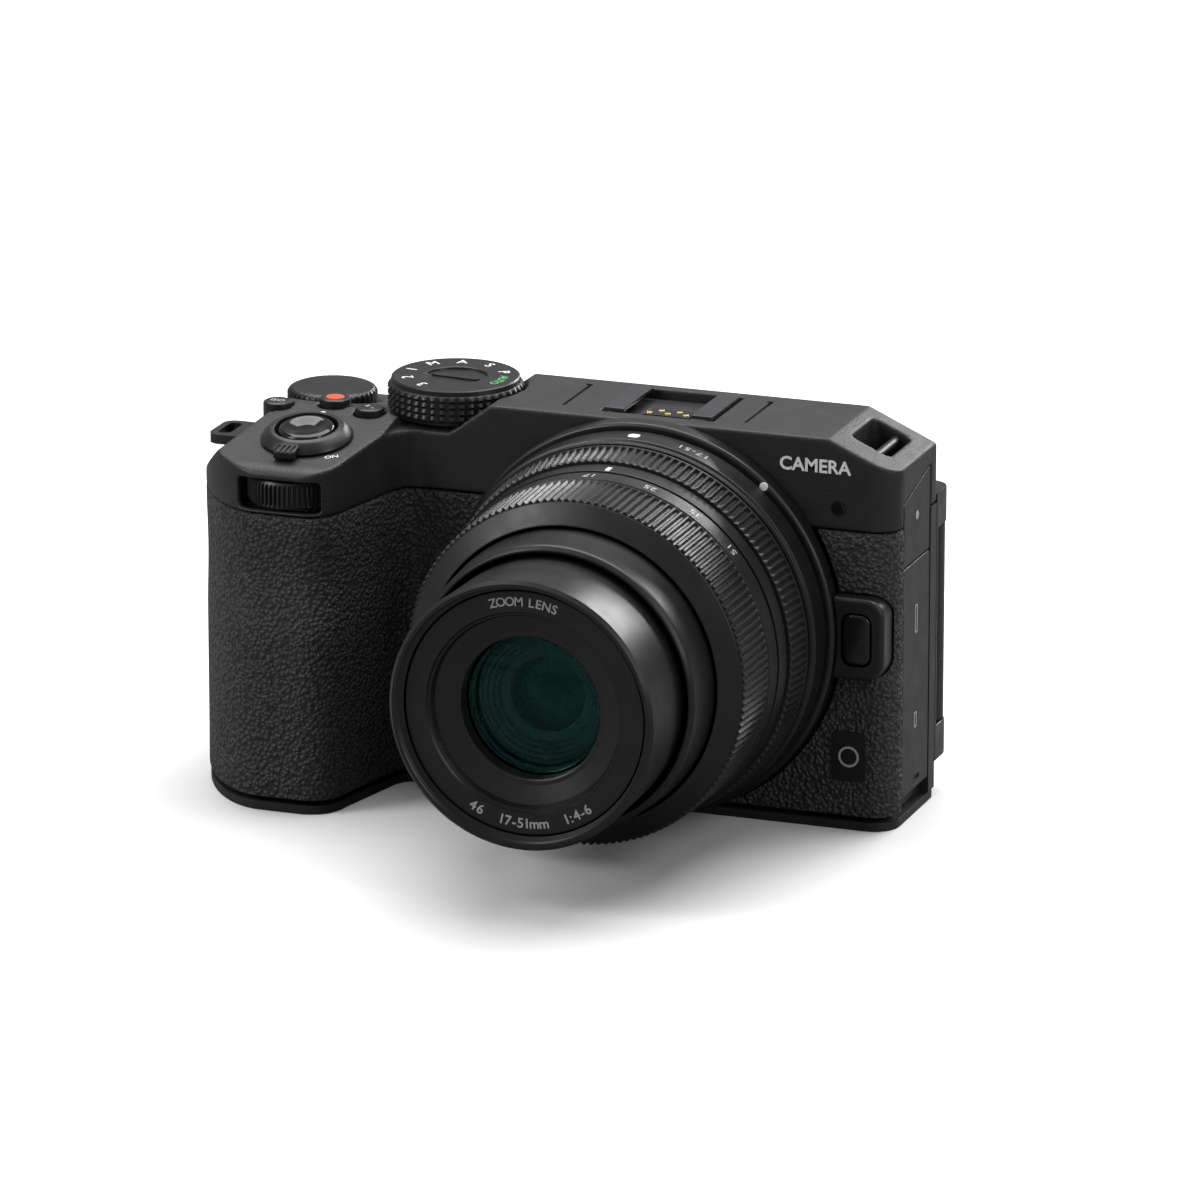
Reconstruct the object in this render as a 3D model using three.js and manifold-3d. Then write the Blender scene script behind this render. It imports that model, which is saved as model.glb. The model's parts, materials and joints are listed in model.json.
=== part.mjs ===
// Compact interchangeable-lens camera with a collapsible zoom lens, in millimetres, +Z up.
// The origin lies on the base plane under the lens axis, at the face of the image sensor.
// Distances along Y below are counted from the mount's front ring, and the last group moves them.
// The lens points to -Y, the hand grip is on the -X side and the socket side is +X.
import * as THREE from 'three';
import { mergeVertices } from 'three/addons/utils/BufferGeometryUtils.js';
import Module from 'manifold-3d';

const wasm = await Module();
wasm.setup();

// Body envelope
const RIGHT_X = 45.5;
const LEFT_X = -82.5;
const FRONT_Y = 4;
const BACK_Y = 27.3;
const THUMB_Y = 33.5;
const THUMB_X = -38;
const GRIP_FRONT_Y = -21;
const TOP_Z = 71;
const SEAM_Z = 54.6;
const BASE_TOP_Z = 1.6;
const AXIS_Z = 35.9;
const SENSOR_Y = 14.2;
const HALF_SPLIT_Y = 14;

// Walls, gaps and roundness
const WALL = 1.6;
const GAP = 0.3;
const COVER_BOTTOM_Z = BASE_TOP_Z + GAP;
const COVER_TOP_Z = SEAM_Z - GAP / 2;
const SKIN = 1;
const FINE = 40;
const MEDIUM = 24;
const SMALL = 16;
const CURVE_STEPS = 4;
const FAR = 100;

// Grip head: its deck rises from the front lip to a ridge and falls away to the rear
const LIP_Z = 62.7;
const RIDGE_Y = 7;
const RIDGE_Z = 67.4;
const STEP_Y = 14;
const STEP_Z = 66;
const TAIL_Z = 62.5;
const HEAD_X = -47.5;
const NOTCH_Z = 65.3;
const NOTCH_X = -37.5;
const ROOF_LEFT_X = -29.7;
const ROOF_RIGHT_X = 33;
const CHAMFER_Z = 65.4;
const SHOULDER_X = -70;
const SHOULDER_BEND = { x: -75, z: 62.5 };
const SHOULDER_Z = 55;
const DECK_TILT = Math.atan2(RIDGE_Z - LIP_Z, RIDGE_Y - GRIP_FRONT_Y);

// Dials and the shutter group
const MODE_DIAL = { x: -40.8, y: 16.2, radius: 12.2, bottom: 66.2, top: 72.5 };
const MAIN_DIAL = { x: -65.9, y: 20, radius: 8.1, bottom: 64, top: 67.2 };
const SUB_DIAL = { x: -60.2, y: -12.5, radius: 8.4, bottom: 55.6, top: 60.4 };
const DIAL_POCKET_GAP = 0.6;
const SHUTTER = { x: -60, y: -7 };
const SHUTTER_RADIUS = 5.1;
const LEVER_INNER = 5.6;
const LEVER_OUTER = 8.2;

// Push buttons on the grip head: centre, radius and height above the deck
const TOP_BUTTONS = {
  record_button: { x: -60.8, y: 8.5, radius: 2.85, rise: 1.5, color: 0x30100c },
  iso_button: { x: -70.6, y: 5.5, radius: 2.6, rise: 0.7, color: 0x1b1b1c },
  exposure_button: { x: -53.2, y: 6, radius: 2.6, rise: 0.9, color: 0x1b1b1c },
};
// Push buttons on the rear: centre and radius
const REAR_BUTTONS = {
  play_button: { x: -46, z: 48.5, radius: 2.6 },
  delete_button: { x: -46, z: 40.5, radius: 2.6 },
  zoom_in_button: { x: -46.5, z: 15.5, radius: 2.6 },
  zoom_out_button: { x: -56.5, z: 12, radius: 2.6 },
  menu_button: { x: -66.5, z: 13.5, radius: 2.6 },
};
// Function buttons between the grip and the lens
const FRONT_BUTTONS = {
  fn1_button: { x: -41.2, z: 31, radius: 2.4 },
  fn2_button: { x: -41.2, z: 20, radius: 2.4 },
};
// Four-way pad on the rear, around the confirm button
const PAD = { x: -56.5, z: 28, radius: 9, ok: 3.4 };
const BUTTON_DEPTH = 2.4;
const REAR_BUTTON_RISE = 0.7;

// Lens mount and lens, radii and distances along the axis (the lens points to -Y)
const TRIM_OUTER = 35.7;
const TRIM_INNER = 32.6;
const THROAT = 27.5;
const BAYONET_OUTER = 31.8;
const TUBE_RADIUS = 26.4;
const TAB_SPAN = Math.PI / 3.6;
const BASE_RADIUS = 34.5;
const CONTROL_BACK_Y = -7.4;
const CONTROL_FRONT_Y = -14;
const INDEX_FRONT_Y = -17.6;
const ZOOM_FRONT_Y = -33.4;
const FACE_Y = -35.9;
const FACE_OPENING = 26.9;
const MIDDLE_FRONT_Y = -44.9;
const MIDDLE_RADIUS = 25.8;
const FRONT_RIM_Y = -60.6;
const RIM_RADIUS = 23.95;
const GLASS_RADIUS = 12.3;
const GLASS_Y = -54.4;
const PIN_RADIUS = 1.1;
const PIN_ORBIT = 29.2;
const TWIST_SPAN = THREE.MathUtils.degToRad(40);

// Lens release boss on the front
const BOSS = { left: 31, right: 44.4, bottom: 28.4, top: 43.4, front: 1.2 };

// Monitor and its vertical hinge
const MONITOR = { left: -36.6, right: 37.9, bottom: 6.5, top: 56, front: 27.7, back: 36.5 };
const HINGE_AXIS = { x: 41.9, y: 32.3 };
const KNUCKLE_RADIUS = 3.6;
const KNUCKLE_HEIGHT = 6.5;

// Socket side
const PANEL = { front: 9.3, back: 23.7, bottom: 5, split: 46.8, frontTop: 58.6, backTop: 62.2 };
const PANEL_THICKNESS = 1.5;

// Battery door and tripod socket
const DOOR = { left: -81, right: -52, front: -18, back: 26 };
const TRIPOD = { y: 20.6, bore: 3.1, flange: 5.4 };

const MATT_BLACK = { color: 0x1d1d1f, roughness: 0.62, metalness: 0 };
const SATIN_BLACK = { color: 0x161617, roughness: 0.38, metalness: 0 };
const RUBBER = { color: 0x1a1a1b, roughness: 0.85, metalness: 0 };
const STEEL = { color: 0xb4b4b2, roughness: 0.3, metalness: 1 };
const DARK_METAL = { color: 0x3a3a3d, roughness: 0.4, metalness: 1 };
const GLASS = { color: 0x16352f, roughness: 0.05, metalness: 0 };
const BOARD = { color: 0x1f4a2c, roughness: 0.6, metalness: 0 };
const BRASS = { color: 0xc6a34a, roughness: 0.35, metalness: 1 };

// A closed three.js geometry as a solid that can be joined and cut.
function solid(geometry) {
  const bare = geometry.index ? geometry.toNonIndexed() : geometry.clone();
  bare.deleteAttribute('normal');
  bare.deleteAttribute('uv');
  const merged = mergeVertices(bare, 1e-4);
  const vertProperties = new Float32Array(merged.attributes.position.array);
  const triVerts = new Uint32Array(merged.index.array);
  return new wasm.Manifold(new wasm.Mesh({ numProp: 3, vertProperties, triVerts }));
}

function box(x0, x1, y0, y1, z0, z1) {
  const geometry = new THREE.BoxGeometry(x1 - x0, y1 - y0, z1 - z0);
  geometry.translate((x0 + x1) / 2, (y0 + y1) / 2, (z0 + z1) / 2);
  return solid(geometry);
}

// Outline in the XY plane, raised from z0 to z1.
function plate(shape, z0, z1) {
  const options = { depth: z1 - z0, bevelEnabled: false, curveSegments: CURVE_STEPS };
  const geometry = new THREE.ExtrudeGeometry(shape, options);
  geometry.translate(0, 0, z0);
  return solid(geometry);
}

// Outline in the XZ plane, carried from y0 to y1.
function slab(shape, y0, y1) {
  const options = { depth: y1 - y0, bevelEnabled: false, curveSegments: CURVE_STEPS };
  const geometry = new THREE.ExtrudeGeometry(shape, options);
  geometry.rotateX(Math.PI / 2);
  geometry.translate(0, y1, 0);
  return solid(geometry);
}

// Outline in the YZ plane, carried from x0 to x1.
function rail(shape, x0, x1) {
  const options = { depth: x1 - x0, bevelEnabled: false, curveSegments: CURVE_STEPS };
  const geometry = new THREE.ExtrudeGeometry(shape, options);
  geometry.rotateX(Math.PI / 2);
  geometry.rotateZ(Math.PI / 2);
  geometry.translate(x0, 0, 0);
  return solid(geometry);
}

function drumZ(radius, z0, z1, x, y, segments = MEDIUM) {
  const geometry = new THREE.CylinderGeometry(radius, radius, z1 - z0, segments);
  geometry.rotateX(Math.PI / 2);
  geometry.translate(x, y, (z0 + z1) / 2);
  return solid(geometry);
}

function drumY(radius, y0, y1, x, z, segments = MEDIUM) {
  const geometry = new THREE.CylinderGeometry(radius, radius, y1 - y0, segments);
  geometry.translate(x, (y0 + y1) / 2, z);
  return solid(geometry);
}

// Revolves (radius, distance) points about the Y axis through the given height.
// A profile that starts and ends off the axis is closed on itself.
function turned(points, segments = FINE, z = AXIS_Z) {
  const profile = points.map(([radius, distance]) => new THREE.Vector2(radius, distance));
  if (THREE.ShapeUtils.area(profile) < 0) profile.reverse();
  if (profile[0].x > 0) profile.push(profile[0].clone());
  const geometry = new THREE.LatheGeometry(profile, segments);
  geometry.translate(0, 0, z);
  return solid(geometry);
}

function ringY(inner, outer, y0, y1, segments = FINE) {
  return turned([[inner, y0], [outer, y0], [outer, y1], [inner, y1]], segments);
}

function polygon(points) {
  return new THREE.Shape(points.map(([a, b]) => new THREE.Vector2(a, b)));
}

function roundedRect(x0, x1, y0, y1, radius) {
  const shape = new THREE.Shape();
  shape.moveTo(x0 + radius, y0);
  shape.lineTo(x1 - radius, y0);
  shape.absarc(x1 - radius, y0 + radius, radius, -Math.PI / 2, 0, false);
  shape.lineTo(x1, y1 - radius);
  shape.absarc(x1 - radius, y1 - radius, radius, 0, Math.PI / 2, false);
  shape.lineTo(x0 + radius, y1);
  shape.absarc(x0 + radius, y1 - radius, radius, Math.PI / 2, Math.PI, false);
  shape.lineTo(x0, y0 + radius);
  shape.absarc(x0 + radius, y0 + radius, radius, Math.PI, Math.PI * 1.5, false);
  return shape;
}

// Piece of a ring about the lens axis, as an outline in the XZ plane.
function ringSector(inner, outer, from, to) {
  const shape = new THREE.Shape();
  shape.absarc(0, AXIS_Z, outer, from, to, false);
  shape.absarc(0, AXIS_Z, inner, to, from, true);
  return shape;
}

// Plan outline of the body with the grip, moved inward by the inset.
function bodyOutline(inset) {
  const right = RIGHT_X - inset;
  const left = LEFT_X + inset;
  const front = FRONT_Y + inset;
  const back = BACK_Y - inset;
  const thumb = THUMB_Y - inset;
  const gripFront = GRIP_FRONT_Y + inset;
  const corner = 5 - inset;
  const shape = new THREE.Shape();
  shape.moveTo(right - corner, front);
  shape.absarc(right - corner, front + corner, corner, -Math.PI / 2, 0, false);
  shape.lineTo(right, back);
  shape.lineTo(THUMB_X - inset, back);
  shape.lineTo(THUMB_X - 2 - inset, thumb);
  shape.lineTo(left + 6, thumb);
  shape.absarc(left + 6, thumb - 6, 6, Math.PI / 2, Math.PI, false);
  shape.lineTo(left, FRONT_Y);
  shape.bezierCurveTo(left + 0.5, -5, -73, gripFront, -64, gripFront);
  shape.lineTo(-57, gripFront);
  shape.quadraticCurveTo(-50.8 - inset, gripFront, -50 - inset, -14);
  shape.lineTo(-46.8 - inset, 0);
  shape.quadraticCurveTo(-46 - inset, front, -42, front);
  return shape;
}

// Space left above the grip head's deck, moved down and inward by the inset.
function aboveDeck(inset) {
  const deck = polygon([
    [-FAR, LIP_Z - inset - (RIDGE_Z - LIP_Z) * (FAR + GRIP_FRONT_Y) / (RIDGE_Y - GRIP_FRONT_Y)],
    [RIDGE_Y, RIDGE_Z - inset],
    [STEP_Y, STEP_Z - inset],
    [THUMB_Y, TAIL_Z - inset],
    [FAR, TAIL_Z - inset],
    [FAR, FAR],
    [-FAR, FAR],
  ]);
  const notch = polygon([
    [HEAD_X - inset, NOTCH_Z - inset],
    [NOTCH_X + inset, NOTCH_Z - inset],
    [ROOF_LEFT_X + inset, TOP_Z - inset],
    [ROOF_LEFT_X + inset, FAR],
    [HEAD_X - inset, FAR],
  ]);
  return rail(deck, -FAR, HEAD_X).add(slab(notch, -FAR, FAR));
}

// Front silhouette of the top cover: rounded left shoulder and chamfered right corner.
function topSilhouette(inset) {
  const reach = TOP_Z - inset;
  const shape = new THREE.Shape();
  shape.moveTo(LEFT_X + inset, 0);
  shape.lineTo(RIGHT_X - inset, 0);
  shape.lineTo(RIGHT_X - inset, CHAMFER_Z - inset);
  shape.lineTo(ROOF_RIGHT_X - inset / 2, reach);
  shape.lineTo(SHOULDER_X, reach);
  shape.lineTo(SHOULDER_X, RIDGE_Z - inset);
  const bend = SHOULDER_BEND;
  shape.quadraticCurveTo(bend.x + inset / 2, bend.z - inset, LEFT_X + inset, SHOULDER_Z - inset / 2);
  return shape;
}

// Everything the top cover may fill, moved inward by the inset.
function topEnvelope(inset) {
  const raised = plate(bodyOutline(inset), SEAM_Z + GAP / 2 - inset, TOP_Z - inset);
  let envelope = raised.intersect(slab(topSilhouette(inset), -FAR, FAR));
  envelope = envelope.subtract(aboveDeck(inset));
  for (const dial of [MODE_DIAL, MAIN_DIAL]) {
    const floor = dial.bottom - GAP - inset;
    const pocket = drumZ(dial.radius + DIAL_POCKET_GAP + inset, floor, TOP_Z * 2, dial.x, dial.y);
    envelope = envelope.subtract(pocket);
  }
  return envelope;
}

// Height of the grip head's deck at a depth.
function deckHeight(y) {
  if (y < RIDGE_Y) return RIDGE_Z - (RIDGE_Y - y) * Math.tan(DECK_TILT);
  return RIDGE_Z - (y - RIDGE_Y) * (RIDGE_Z - STEP_Z) / (STEP_Y - RIDGE_Y);
}

function frame(x, y, z, tilt = 0) {
  const group = new THREE.Group();
  group.position.set(x, y, z);
  group.rotation.x = tilt;
  return group;
}

// Moves a solid built at the origin to the shutter group's tilted seat.
function onShutterSeat(part) {
  const degrees = THREE.MathUtils.radToDeg(DECK_TILT);
  return part.rotate([degrees, 0, 0]).translate([SHUTTER.x, SHUTTER.y, deckHeight(SHUTTER.y)]);
}

const camera = new THREE.Group();
camera.position.y = -SENSOR_Y;

// Adds a solid to the camera as a named mesh with its own material.
function addPiece(name, manifold, finish, parent = camera) {
  const mesh = manifold.getMesh();
  const geometry = new THREE.BufferGeometry();
  geometry.setAttribute('position', new THREE.BufferAttribute(mesh.vertProperties, 3));
  geometry.setIndex(new THREE.BufferAttribute(mesh.triVerts, 1));
  const piece = new THREE.Mesh(geometry, new THREE.MeshStandardMaterial(finish));
  piece.name = name;
  parent.add(piece);
}

// The release boss, a rounded pad beside the lens ring.
function bossShape(margin) {
  const { left, right, bottom, top } = BOSS;
  return roundedRect(left - margin, right + margin, bottom - margin, top + margin, 3.5 + margin);
}

function panelShape(bottom, frontTop, backTop, margin) {
  return polygon([
    [PANEL.front - margin, bottom - margin],
    [PANEL.back + margin, bottom - margin],
    [PANEL.back + margin, backTop + margin],
    [PANEL.front - margin, frontTop + margin],
  ]);
}

function topCover() {
  let cover = topEnvelope(0).subtract(topEnvelope(WALL + GAP / 2));
  const shoeSeat = box(-12, 12, FRONT_Y + 1, BACK_Y - 1, 66.4, TOP_Z - 1);
  const strapWell = box(33.6, 43.5, 9.2, 24.6, 60.2, TOP_Z);
  cover = cover.add(shoeSeat).add(strapWell.intersect(topEnvelope(0)));
  cover = cover.subtract(box(-10.5, 10.5, FRONT_Y + 4, 24.6, 68.2, TOP_Z * 2));
  cover = cover.subtract(box(35, 42.1, 10.6, 23.2, 61.6, TOP_Z * 2));
  cover = cover.subtract(drumY(1.2, 9.6, 24.2, 39.2, 66.2, SMALL));
  cover = cover.subtract(drumY(BAYONET_OUTER + GAP * 2, 0, 7.2, 0, AXIS_Z, FINE));
  cover = cover.subtract(box(-67.9, -52.5, GRIP_FRONT_Y - 2, -14, 55.2, 60.9));
  cover = cover.subtract(onShutterSeat(drumZ(SHUTTER_RADIUS + GAP, -8, 8, 0, 0, SMALL)));
  cover = cover.subtract(box(LEFT_X - 1, LEFT_X + 4, 11.7, 22.3, 56.2, 58.6));
  const side = panelShape(PANEL.bottom, PANEL.frontTop, PANEL.backTop, GAP);
  cover = cover.subtract(rail(side, RIGHT_X - PANEL_THICKNESS - 0.4, RIGHT_X + 1));
  for (const { x, y, radius } of Object.values(TOP_BUTTONS)) {
    cover = cover.subtract(drumZ(radius + GAP, SEAM_Z, TOP_Z, x, y, SMALL));
  }
  addPiece('top_cover', cover, MATT_BLACK);
}

// Ring between two insets of the body outline, between two heights.
function bodyWall(outerInset, innerInset, z0, z1) {
  const inner = plate(bodyOutline(innerInset), z0 - 1, z1 + 1);
  return plate(bodyOutline(outerInset), z0, z1).subtract(inner);
}

function frontCover() {
  const behindSkin = SKIN + GAP;
  let cover = bodyWall(behindSkin, behindSkin + WALL, COVER_BOTTOM_Z, COVER_TOP_Z);
  const beforePanels = box(-FAR, FAR, -FAR, PANEL.front - GAP, 0, FAR);
  cover = cover.intersect(beforePanels.add(box(-FAR, RIGHT_X - 2.9, 0, HALF_SPLIT_Y, 0, FAR)));
  cover = cover.add(slab(bossShape(0), BOSS.front, FRONT_Y + behindSkin + WALL / 2));
  cover = cover.subtract(drumY(TRIM_OUTER + GAP, -1, FRONT_Y - GAP / 2, 0, AXIS_Z, FINE));
  cover = cover.subtract(drumY(BAYONET_OUTER + GAP * 2, -1, FRONT_Y + 6, 0, AXIS_Z, FINE));
  const buttonWell = roundedRect(36.6, 42.3, 31, 40.8, 2);
  cover = cover.subtract(slab(buttonWell, 0, FRONT_Y + 6));
  for (const { x, z, radius } of Object.values(FRONT_BUTTONS)) {
    cover = cover.subtract(drumY(radius + GAP, 0, FRONT_Y + 6, x, z, SMALL));
  }
  addPiece('front_cover', cover, MATT_BLACK);
}

function rubberSkins() {
  const band = bodyWall(0, SKIN, COVER_BOTTOM_Z + 0.6, COVER_TOP_Z);
  const lensCut = drumY(TRIM_OUTER + GAP * 2, -FAR, FAR, 0, AXIS_Z, FINE);
  let grip = band.intersect(box(-FAR, -30, -FAR, HALF_SPLIT_Y, 0, FAR));
  grip = grip.subtract(lensCut.intersect(box(-40, 40, 0, FAR, 0, FAR)));
  for (const { x, z, radius } of Object.values(FRONT_BUTTONS)) {
    grip = grip.subtract(drumY(radius + GAP, 0, FRONT_Y + 6, x, z, SMALL));
  }
  addPiece('grip_rubber', grip, RUBBER);
  let patch = band.intersect(box(12, FAR, -FAR, PANEL.front - GAP, 0, FAR));
  patch = patch.subtract(lensCut.intersect(box(-40, 40, 0, FAR, 0, FAR)));
  patch = patch.subtract(slab(bossShape(GAP), 0, FRONT_Y + 6));
  addPiece('leatherette', patch, RUBBER);
}

function rearCover() {
  let cover = bodyWall(0, WALL, COVER_BOTTOM_Z, COVER_TOP_Z);
  cover = cover.intersect(box(-FAR, FAR, HALF_SPLIT_Y + GAP, FAR, 0, FAR));
  const recess = RIGHT_X - PANEL_THICKNESS - 0.4;
  cover = cover.subtract(box(recess - 1, FAR, 0, PANEL.back + GAP, 0, FAR));
  const panel = box(recess - WALL, recess, PANEL.front, BACK_Y - 1, COVER_BOTTOM_Z, COVER_TOP_Z);
  cover = cover.add(panel);
  cover = cover.subtract(box(recess - 3, recess + 1, 11, 19, 12, 44));
  cover = cover.subtract(box(recess - 3, recess + 1, 11, 19, 48.5, 54));
  for (const { x, z, radius } of Object.values(REAR_BUTTONS)) {
    cover = cover.subtract(drumY(radius + GAP, BACK_Y, FAR, x, z, SMALL));
  }
  cover = cover.subtract(drumY(PAD.radius - 2, BACK_Y, FAR, PAD.x, PAD.z, SMALL));
  cover = cover.subtract(box(-59.5, -51.5, BACK_Y, FAR, 50.2, 51.6));
  addPiece('rear_cover', cover, MATT_BLACK);
}

function basePlate() {
  const doorway = plate(bodyOutline(2.3), -1, 3);
  const { left, right, front, back } = DOOR;
  let base = plate(bodyOutline(0.3), 0, BASE_TOP_Z);
  base = base.subtract(doorway.intersect(box(left, right + GAP, front, back + GAP, -2, 4)));
  base = base.subtract(drumZ(TRIPOD.flange + GAP, -1, 3, 0, TRIPOD.y));
  addPiece('base_plate', base, SATIN_BLACK);
  let socket = drumZ(TRIPOD.flange, 0, BASE_TOP_Z, 0, TRIPOD.y);
  socket = socket.add(drumZ(TRIPOD.flange - 1, 0, 6.5, 0, TRIPOD.y));
  socket = socket.subtract(drumZ(TRIPOD.bore, -1, 5.5, 0, TRIPOD.y, SMALL));
  addPiece('tripod_socket', socket, STEEL);
}

function batteryBay() {
  const { left, right, front, back } = DOOR;
  let door = plate(bodyOutline(2.6), 0.2, BASE_TOP_Z);
  door = door.intersect(box(left, right, front, back, -2, 4));
  const latchSeat = box(-79, -72, 3.5, 10.5, -1, 1);
  addPiece('battery_door', door.subtract(latchSeat), SATIN_BLACK);
  addPiece('battery_latch', box(-77, -74.2, 4, 10, 0.3, 0.7), MATT_BLACK);
  addPiece('battery', box(-75.5, -60.5, -6.5, 24.5, 3.2, 49), { color: 0x2b2c30, roughness: 0.5, metalness: 0 });
  addPiece('memory_card', box(-56.2, -54.1, -3, 21, 8, 40), { color: 0x20242c, roughness: 0.5, metalness: 0 });
}

function internals() {
  let chassis = box(-28, 32, 7.2, 8.8, 4, 65.5);
  chassis = chassis.add(box(-34, 36, 7.2, 24, 2.1, 4));
  chassis = chassis.subtract(box(-17, 17, 6, 10, AXIS_Z - 13, AXIS_Z + 13));
  chassis = chassis.subtract(drumZ(TRIPOD.flange, 1, 5, 0, TRIPOD.y));
  chassis = chassis.subtract(drumY(PIN_RADIUS + GAP, 6, 10, PIN_ORBIT, AXIS_Z, SMALL));
  addPiece('chassis', chassis, DARK_METAL);
  let shutter = box(-22, 22, 9.2, 12.8, 7.2, 47);
  shutter = shutter.subtract(box(-13, 13, 8, 14, AXIS_Z - 8.5, AXIS_Z + 8.5));
  shutter = shutter.subtract(box(-15.4, 15.4, 10.2, 11.6, 8.4, 45.9));
  addPiece('shutter_frame', shutter, SATIN_BLACK);
  addPiece('shutter_curtain', box(-14.8, 14.8, 10.6, 11.2, 8.9, 26.9), DARK_METAL);
  let sensor = box(-19, 19, SENSOR_Y + 1.2, SENSOR_Y + 4.2, 20, 52);
  sensor = sensor.add(box(-13.5, 13.5, SENSOR_Y, SENSOR_Y + 1.2, AXIS_Z - 9.5, AXIS_Z + 9.5));
  addPiece('image_sensor', sensor, { color: 0x1c2436, roughness: 0.15, metalness: 0 });
  addPiece('main_board', box(-28, 33, 20.4, 22, 8, 64), BOARD);
  let sockets = box(36.8, 41.7, 10.6, 19.6, 10, 57);
  for (const [y0, y1, z0, z1] of [[12, 18, 49.5, 53], [13.2, 16.6, 28, 36], [13.4, 16.4, 14, 23]]) {
    sockets = sockets.subtract(box(38, 43, y0, y1, z0, z1));
  }
  addPiece('port_block', sockets, SATIN_BLACK);
}

function mountRings() {
  addPiece('mount_trim', ringY(TRIM_INNER, TRIM_OUTER, 0, FRONT_Y - GAP), SATIN_BLACK);
  let ring = ringY(THROAT, BAYONET_OUTER, GAP, 6.9);
  for (let k = 0; k < 3; k += 1) {
    const from = k * Math.PI * 2 / 3;
    const tab = ringSector(TUBE_RADIUS + 0.4, THROAT + 0.5, from, from + TAB_SPAN);
    ring = ring.add(slab(tab, 1.2, 2.4));
  }
  ring = ring.subtract(drumY(PIN_RADIUS + 0.25, -1, 8, PIN_ORBIT, AXIS_Z, SMALL));
  addPiece('mount_ring', ring, STEEL);
}

function releaseCatch() {
  const cap = roundedRect(36.9, 42, 31.3, 40.5, 1.7);
  addPiece('lens_release_button', slab(cap, 0.9, 5), SATIN_BLACK);
  addPiece('lens_lock_pin', drumY(PIN_RADIUS, -0.7, 8.4, PIN_ORBIT, AXIS_Z, SMALL), STEEL);
}

function buttons() {
  for (const [name, { x, y, radius, rise, color }] of Object.entries(TOP_BUTTONS)) {
    const top = deckHeight(y) + rise;
    const button = drumZ(radius, top - BUTTON_DEPTH - rise, top, x, y, SMALL);
    addPiece(name, button, { color, roughness: 0.45, metalness: 0 });
  }
  for (const [name, { x, z, radius }] of Object.entries(REAR_BUTTONS)) {
    const button = drumY(radius, THUMB_Y - BUTTON_DEPTH, THUMB_Y + REAR_BUTTON_RISE, x, z, SMALL);
    addPiece(name, button, SATIN_BLACK);
  }
  for (const [name, { x, z, radius }] of Object.entries(FRONT_BUTTONS)) {
    addPiece(name, drumY(radius, FRONT_Y - 0.8, FRONT_Y + 2, x, z, SMALL), SATIN_BLACK);
  }
  let pad = drumY(PAD.radius, THUMB_Y + GAP * 2, THUMB_Y + 1.7, PAD.x, PAD.z);
  pad = pad.add(drumY(PAD.radius - 2 - GAP * 2, THUMB_Y - 1.2, THUMB_Y + 1, PAD.x, PAD.z));
  pad = pad.subtract(drumY(PAD.ok + GAP, 0, FAR, PAD.x, PAD.z, SMALL));
  addPiece('multi_selector', pad, SATIN_BLACK);
  addPiece('ok_button', drumY(PAD.ok, THUMB_Y - 1.2, THUMB_Y + 1.9, PAD.x, PAD.z, SMALL), SATIN_BLACK);
  let selector = box(-59.2, -54.8, THUMB_Y + GAP, THUMB_Y + 1.6, 49, 52.8);
  selector = selector.add(box(-59.1, -54.9, THUMB_Y - 1.2, THUMB_Y + 1, 50.5, 51.3));
  addPiece('photo_movie_selector', selector, SATIN_BLACK);
}

function dials() {
  const { x, y, radius, bottom, top } = MODE_DIAL;
  const waist = drumZ(radius, bottom, top - 0.9, x, y, FINE);
  const crown = drumZ(radius - 0.5, bottom + 1, top, x, y, FINE);
  const recess = drumZ(5.6, top - 0.5, top + 1, x, y);
  addPiece('mode_dial', waist.add(crown).subtract(recess), SATIN_BLACK);
  const main = MAIN_DIAL;
  addPiece('main_command_dial', drumZ(main.radius, main.bottom, main.top, main.x, main.y), SATIN_BLACK);
  const sub = SUB_DIAL;
  addPiece('sub_command_dial', drumZ(sub.radius, sub.bottom, sub.top, sub.x, sub.y), SATIN_BLACK);
}

function shutterGroup() {
  const seat = frame(SHUTTER.x, SHUTTER.y, deckHeight(SHUTTER.y), DECK_TILT);
  camera.add(seat);
  addPiece('shutter_button', drumZ(SHUTTER_RADIUS, -1, 2.5, 0, 0, MEDIUM), SATIN_BLACK, seat);
  const cone = new THREE.CylinderGeometry(LEVER_OUTER - 1.5, LEVER_OUTER, 2, MEDIUM);
  cone.rotateX(Math.PI / 2);
  cone.translate(0, 0, GAP + 1);
  const tab = box(-2.6, 1.6, -LEVER_OUTER - 2.2, -LEVER_OUTER + 2, GAP, 2);
  const lever = solid(cone).add(tab).subtract(drumZ(LEVER_INNER, -1, 5, 0, 0, MEDIUM));
  addPiece('power_lever', lever, MATT_BLACK, seat);
}

function hotShoe() {
  let shoe = box(-10.1, 10.1, 8.4, 24.2, 68.5, 71.6);
  shoe = shoe.subtract(box(-9.3, 9.3, 0, FAR, 69.3, 70.9));
  shoe = shoe.subtract(box(-6.25, 6.25, 0, FAR, 69.3, FAR));
  addPiece('hot_shoe', shoe, DARK_METAL);
  addPiece('shoe_contacts', box(-4.2, 4.2, 12.2, 16.4, 69.6, 70), BRASS);
}

function strapFittings() {
  const loop = roundedRect(LEFT_X - 4.6, LEFT_X + 2.4, 12, 22, 1.6);
  const slot = roundedRect(LEFT_X - 3.4, LEFT_X - 0.8, 13.4, 20.6, 1);
  addPiece('strap_loop_left', plate(loop, 56.5, 58.3).subtract(plate(slot, 55, 60)), STEEL);
  addPiece('strap_bar_right', drumY(0.9, 9.9, 23.9, 39.2, 66.2, SMALL), STEEL);
}

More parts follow.
